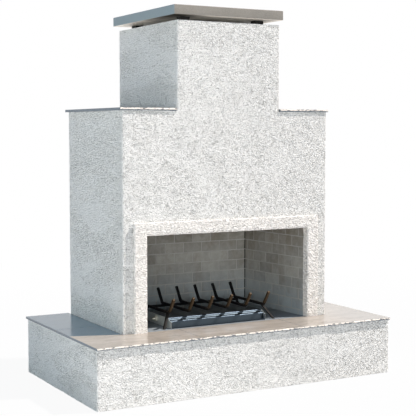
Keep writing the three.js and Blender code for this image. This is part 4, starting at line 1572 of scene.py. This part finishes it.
@dataclass
class BrickLining:
    """The three panels of moulded brick, with sunk mortar."""

    front: float = -0.21575
    back: float = 0.31625
    half_opening: float = 0.485
    splay: float = 0.051
    panel: float = 0.032
    seam: float = 0.0003
    corner_painted_corner_shade: float = 0.006
    pitch: float = 0.1175
    course: float = 0.0584
    first_course: float = 0.0286
    mortar: float = 0.005
    sunk: float = 0.0014
    back_shift: float = 0.0225
    side_shift: float = 0.040
    proud: float = 0.0006
    jitter: Span = (0.0006, 0.0005)
    arris: float = 0.0007
    arris_facets: int = 2
    rng: random.Random = field(default_factory=lambda: random.Random(11))

    def build(self) -> None:
        """Builds the back panel and both side panels."""
        half_back = self.half_opening - self.splay - self.corner_painted_corner_shade
        upright = Matrix.Translation((0, self.back, 0))
        self.panel_of("back", (-half_back, half_back), self.back_shift, upright)
        length = self.back - self.front + self.panel - self.seam
        slope = self.splay / (self.back - self.front)
        for side in Side:
            # Along the panel runs +Y, and into it runs away from the middle, with the splay as a shear.
            along = Vector((-side.value * slope, 1.0, 0.0))
            inward = Vector((float(side.value), 0.0, 0.0))
            turn = Matrix((along, inward, Vector((0, 0, 1)))).transposed().to_4x4()
            start = (side.value * self.half_opening, self.front + self.seam, 0)
            self.panel_of(side.word, (0.0, length), self.side_shift, Matrix.Translation(start) @ turn)

    def panel_of(self, word: str, ends: Span, shift: float, place: Matrix) -> None:
        """Builds a panel laid out along X, which faces -Y, and puts it in its place.

        Args:
            word: which panel it is.
            ends: where the panel starts and ends.
            shift: where the pattern's joints fall.
            place: from the flat layout to the firebox.
        """
        low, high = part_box(f"brick_panel_{word}")
        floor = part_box("firebox_floor")[1].z
        half_mortar = self.mortar / 2
        bm = bmesh.new()
        tone = bm.faces.layers.float.new("tone")
        add_block(bm, (ends[0], self.sunk, low.z), (ends[1], self.panel, high.z))
        for face in bm.faces:
            face.material_index = 1
        courses = math.ceil((high.z - floor - self.first_course) / self.course)
        for number in range(-1, courses):
            foot = low.z if number < 0 else floor + self.first_course + number * self.course + half_mortar
            next_joint = floor + self.first_course + (number + 1) * self.course
            top = min(high.z, next_joint - half_mortar)
            joint = shift + (self.pitch / 2 if number % 2 == 0 else 0.0)
            start = joint - math.ceil((joint - ends[0]) / self.pitch) * self.pitch
            while start < ends[1]:
                span = (max(ends[0], start + half_mortar), min(ends[1], start + self.pitch - half_mortar))
                if top - foot > self.mortar and span[1] - span[0] > self.mortar:
                    self._brick(bm, tone, span, (foot, top))
                start += self.pitch
        bmesh.ops.transform(bm, matrix=place, verts=bm.verts[:])
        face_outwards(bm)
        set_out(f"brick_wall_{word}", bm, [BRICK, MORTAR], [f"brick_panel_{word}"])

    def _brick(self, bm: Mesh, tone: bmesh.types.BMLayerItem, span: Span, rise: Span) -> None:
        """Adds one brick face, a little uneven and with its own tone.

        Args:
            bm: the panel's mesh.
            tone: the layer that holds the tones.
            span: from end to end.
            rise: from bed to top.
        """
        before = set(bm.faces)
        proud = self.rng.uniform(0.0, self.proud)
        verts = add_block(bm, (span[0], proud, rise[0]), (span[1], 2 * self.sunk, rise[1]))
        front = [vert for vert in verts if vert.co.y < self.sunk]
        for vert in front:
            vert.co.x += self.rng.uniform(-self.jitter[0], self.jitter[0])
            vert.co.z += self.rng.uniform(-self.jitter[1], self.jitter[1])
        rim = {edge for vert in front for edge in vert.link_edges}
        round_edges(bm, rim, self.arris, self.arris_facets)
        shade = self.rng.random()
        for face in set(bm.faces) - before:
            face[tone] = shade


@dataclass
class Burner:
    """The folded stainless pan over the gas tube."""

    sheet: float = 0.0016
    lip: float = 0.007
    trough: float = 0.014
    step_run: float = 0.004
    shelf_run: float = 0.018
    shelf_rise: float = 0.004
    step_share: float = 0.72
    horn_share: float = 0.7
    tab: float = 0.010
    tab_foot: float = 0.001
    tab_drop: float = 0.002
    fold: float = 0.0042
    fold_facets: int = 6
    rear_chamfer: float = 0.004
    plate_rise: float = 0.001
    plate_ease: float = 0.0004
    crease: float = 35.0

    def build(self) -> None:
        """Builds the pan with its end plates and corner tabs."""
        bm = bmesh.new()
        self._append(bm, self._folds())
        for side in Side:
            self._append(bm, self._plate(side))
            self._append(bm, self._tab(side))
        set_out("burner_tray", bm, [PAN_STEEL], ["burner_pan"], self.crease)

    def _folds(self) -> Mesh:
        """Makes the folded sheet: lip, trough, two steps, top and back.

        Returns:
            The sheet's mesh.
        """
        low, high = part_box("burner_pan")
        depth, height = high.y - low.y, high.z - low.z
        step = height * self.step_share
        lower = self.trough + self.step_run
        upper = lower + self.shelf_run
        profile = [
            (0.0, self.lip),
            (0.0, 0.0),
            (self.trough, 0.0),
            (lower, step),
            (upper, step + self.shelf_rise),
            (upper + self.step_run, height),
            (depth, height),
            (depth, 0.0),
        ]
        bm = bmesh.new()
        start, end = low.x + self.sheet, high.x - self.sheet
        line = [bm.verts.new((start, low.y + y, low.z + z)) for y, z in profile]
        edges = [bm.edges.new(pair) for pair in zip(line, line[1:])]
        carry(bm, bmesh.ops.extrude_edge_only(bm, edges=edges), (end - start, 0, 0))
        face_outwards(bm)
        folds = [edge for edge in bm.edges if runs_along(edge, X) and len(edge.link_faces) == 2]
        round_edges(bm, folds, self.fold, self.fold_facets)
        if max(bm.faces, key=lambda face: face.calc_area()).normal.z < 0:
            bmesh.ops.reverse_faces(bm, faces=bm.faces[:])
        bmesh.ops.solidify(bm, geom=bm.faces[:], thickness=self.sheet)
        return bm

    def _plate(self, side: Side) -> Mesh:
        """Makes an end plate.

        Args:
            side: which end.

        Returns:
            The plate's mesh.
        """
        low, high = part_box("burner_pan")
        depth, height = high.y - low.y, high.z - low.z
        lower = self.trough + self.step_run
        outline = [
            (0.0, 0.0),
            (depth, 0.0),
            (depth, height - self.rear_chamfer),
            (depth - self.rear_chamfer, height),
            (lower + self.shelf_run + self.step_run, height),
            (lower, height * self.step_share + self.plate_rise),
            (0.0, height * self.horn_share),
        ]
        outer = side.ends(low, high)[1]
        bm = bmesh.new()
        face = bm.faces.new([bm.verts.new((outer, low.y + y, low.z + z)) for y, z in outline])
        thicken(bm, [face], (-side.value * self.sheet, 0, 0))
        face_outwards(bm)
        round_edges(bm, bm.edges[:], self.plate_ease, 1)
        return bm

    def _tab(self, side: Side) -> Mesh:
        """Makes the tab of an end plate that is folded in front of the trough.

        Args:
            side: which end.

        Returns:
            The tab's mesh.
        """
        low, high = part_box("burner_pan")
        outer = side.ends(low, high)[1]
        left, right = sorted((outer, outer - side.value * self.tab))
        top = low.z + (high.z - low.z) * self.horn_share - self.tab_drop
        bm = bmesh.new()
        add_block(bm, (left, low.y, low.z + self.tab_foot), (right, low.y + self.sheet, top))
        round_edges(bm, bm.edges[:], self.plate_ease, 1)
        return bm

    @staticmethod
    def _append(bm: Mesh, part: Mesh) -> None:
        """Puts a part's mesh into the pan's and frees it.

        Args:
            bm: the pan's mesh.
            part: the part's mesh.
        """
        carrier = bpy.data.meshes.new("carrier")
        part.to_mesh(carrier)
        part.free()
        bm.from_mesh(carrier)
        bpy.data.meshes.remove(carrier)


@dataclass
class CarriedNodes:
    """CAD nodes that keep their shape and get a better finish, by how their names start."""

    boards: tuple[str, ...] = (
        "hearth_board_",
        "hearth_deck",
        "jamb_board_",
        "header_board",
        "back_board",
        "side_board_",
        "shoulder_board_",
        "chimney_board_",
    )
    galvanised: tuple[str, ...] = (
        "hearth_frame",
        "side_frame_",
        "chimney_frame",
        "lintel_angle",
        "firebox_shell",
        "chimney_cover",
        "flue_pipe",
    )

    def dress(self, nodes: Mapping[str, bpy.types.Object]) -> None:
        """Gives each CAD node that is still shown its material.

        Args:
            nodes: the CAD nodes by name.
        """
        finishes = {
            self.boards: BOARD,
            self.galvanised: GALVANISED,
            ("smoke_dome",): DOME,
            ("firebox_floor",): FLOOR_SLAB,
            ("burner_tube",): STAINLESS,
        }
        for name, node in nodes.items():
            for starts, finish in finishes.items():
                if name.startswith(starts):
                    node.data.materials.clear()
                    node.data.materials.append(material_of(finish))
                    LOG.info("%s: CAD node finished as %s", name, finish.name)


@dataclass(frozen=True)
class Softbox:
    """A soft lamp that faces the object's middle.

    Attributes:
        name: the lamp's name.
        place: where it hangs.
        size: its width and height.
        power: its power in watts.
        colour: its tint.
        aim: the object's middle.
    """

    name: str
    place: Triple
    size: Span
    power: float
    colour: Triple
    aim: Triple = (0.0, 0.0, 0.9)

    def hang(self) -> None:
        """Hangs the lamp where neither the camera nor a glossy surface sees it."""
        data = bpy.data.lights.new(self.name, "AREA")
        data.shape = "RECTANGLE"
        data.size, data.size_y = self.size
        data.energy = self.power
        data.color = self.colour
        made = link(self.name, data)
        made.location = self.place
        made.rotation_mode = "QUATERNION"
        made.rotation_quaternion = (Vector(self.place) - Vector(self.aim)).to_track_quat("Z", "Y")
        made.visible_camera = False
        made.visible_glossy = False


@dataclass
class Studio:
    """The photograph's viewpoint, a pale floor, a high sun from the right and soft fills."""

    camera_place: Triple = (-2.7814, -5.03425, 1.3222)
    camera_pitch: float = 90.0 - 4.1586
    camera_turn: float = -28.974
    lens: float = 91.64
    sensor: float = 36.0
    floor_size: float = 30.0
    floor_cells: int = 4
    floor_colour: Colour = (0.5, 0.505, 0.51, 1.0)
    floor_share: float = 0.06
    floor_reach: Span = (1.5, 5.0)
    to_sun: Triple = (0.53, -0.18, 0.83)
    sun: float = 5.25
    sun_angle: float = 0.9
    sun_colour: Triple = (1.0, 0.93, 0.87)
    sky_colour: Colour = (0.6, 0.8, 1.0, 1.0)
    sky: float = 0.1
    softboxes: tuple[Softbox, ...] = (
        Softbox("front_fill", (-3.0, -6.4, 1.25), (8.0, 0.9), 292.0, (0.95, 0.985, 1.0)),
        Softbox("left_fill", (-6.5, -0.5, 1.75), (4.0, 1.8), 90.0, (0.76, 0.925, 1.0)),
        Softbox("back_fill", (1.0, 7.0, 0.9), (5.0, 2.0), 310.0, (0.97, 1.0, 0.99)),
        Softbox("top_fill", (0.0, 0.0, 7.0), (5.0, 5.0), 100.0, (0.16, 0.42, 1.0)),
    )

    def build(self) -> None:
        """Builds the camera, the floor, the lamps and the world."""
        self.camera()
        self.floor()
        self.lamps()
        self.world()
        bpy.context.scene.view_settings.view_transform = "Standard"

    def camera(self) -> None:
        """Sets the camera where the photograph was taken from."""
        data = bpy.data.cameras.new("photo_camera")
        data.lens = self.lens
        data.sensor_width = self.sensor
        made = link("photo_camera", data)
        made.location = self.camera_place
        made.rotation_euler = (math.radians(self.camera_pitch), 0.0, math.radians(self.camera_turn))
        bpy.context.scene.camera = made

    @staticmethod
    def _seen(board: NodeBoard) -> Wire:
        """Tells rays from the camera, and those that a glossy or clear surface sends on, from the rest.

        Args:
            board: the node board of the floor or of the world.

        Returns:
            1 for those rays and 0 for the rest.
        """
        rays = board.node("ShaderNodeLightPath").outputs
        seen = Wire(board, rays["Is Camera Ray"]) + Wire(board, rays["Is Glossy Ray"])
        return seen + Wire(board, rays["Is Transmission Ray"])

    def floor(self) -> None:
        """Lays the pale floor, which shows nearly white and keeps a soft shadow."""
        bm = bmesh.new()
        cells = self.floor_cells
        bmesh.ops.create_grid(bm, x_segments=cells, y_segments=cells, size=self.floor_size)
        mesh = bpy.data.meshes.new("studio_floor")
        bm.to_mesh(mesh)
        bm.free()
        made = link("studio_floor", mesh)
        paint = bpy.data.materials.new("studio_floor")
        paint.use_nodes = True
        board = NodeBoard(paint.node_tree)
        matt = board.wire("ShaderNodeBsdfDiffuse", None, {"Color": self.floor_colour})
        glow = board.wire("ShaderNodeEmission", None, {"Color": WHITE, "Strength": 1.0})
        away = board.wire("ShaderNodeVectorMath", {"operation": "LENGTH"}, {0: board.place}, "Value")
        white = self._seen(board) * away.step(*self.floor_reach, start=1.0 - self.floor_share)
        mixed = board.wire("ShaderNodeMixShader", None, {0: white, 1: matt, 2: glow})
        board.node("ShaderNodeOutputMaterial", None, {"Surface": mixed})
        mesh.materials.append(paint)

    def lamps(self) -> None:
        """Hangs the sun and the soft fills."""
        data = bpy.data.lights.new("high_sun", "SUN")
        data.energy = self.sun
        data.angle = math.radians(self.sun_angle)
        data.color = self.sun_colour
        sun = link("high_sun", data)
        sun.rotation_mode = "QUATERNION"
        sun.rotation_quaternion = Vector(self.to_sun).to_track_quat("Z", "Y")
        for softbox in self.softboxes:
            softbox.hang()

    def world(self) -> None:
        """Lights the object with a dim blue sky and shows white behind it."""
        world = bpy.data.worlds.new("studio_sky")
        world.use_nodes = True
        bpy.context.scene.world = world
        board = NodeBoard(world.node_tree)
        dim = board.wire("ShaderNodeBackground", None, {"Color": self.sky_colour, "Strength": self.sky})
        white = board.wire("ShaderNodeBackground", None, {"Color": WHITE, "Strength": 1.0})
        mixed = board.wire("ShaderNodeMixShader", None, {0: self._seen(board), 1: dim, 2: white})
        board.node("ShaderNodeOutputWorld", None, {"Surface": mixed})


def main() -> None:
    """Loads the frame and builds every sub-assembly in order."""
    logging.basicConfig(level=logging.INFO, format="%(name)s %(message)s")
    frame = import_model()
    Studio().build()
    for work in (StuccoCoats(), TileWork(), EasedCopies(), GrateWelds(), BrickLining(), Burner()):
        LOG.info("building %s", type(work).__name__)
        work.build()
    CarriedNodes().dress(frame["nodes"])


if __name__ == "__main__":
    main()
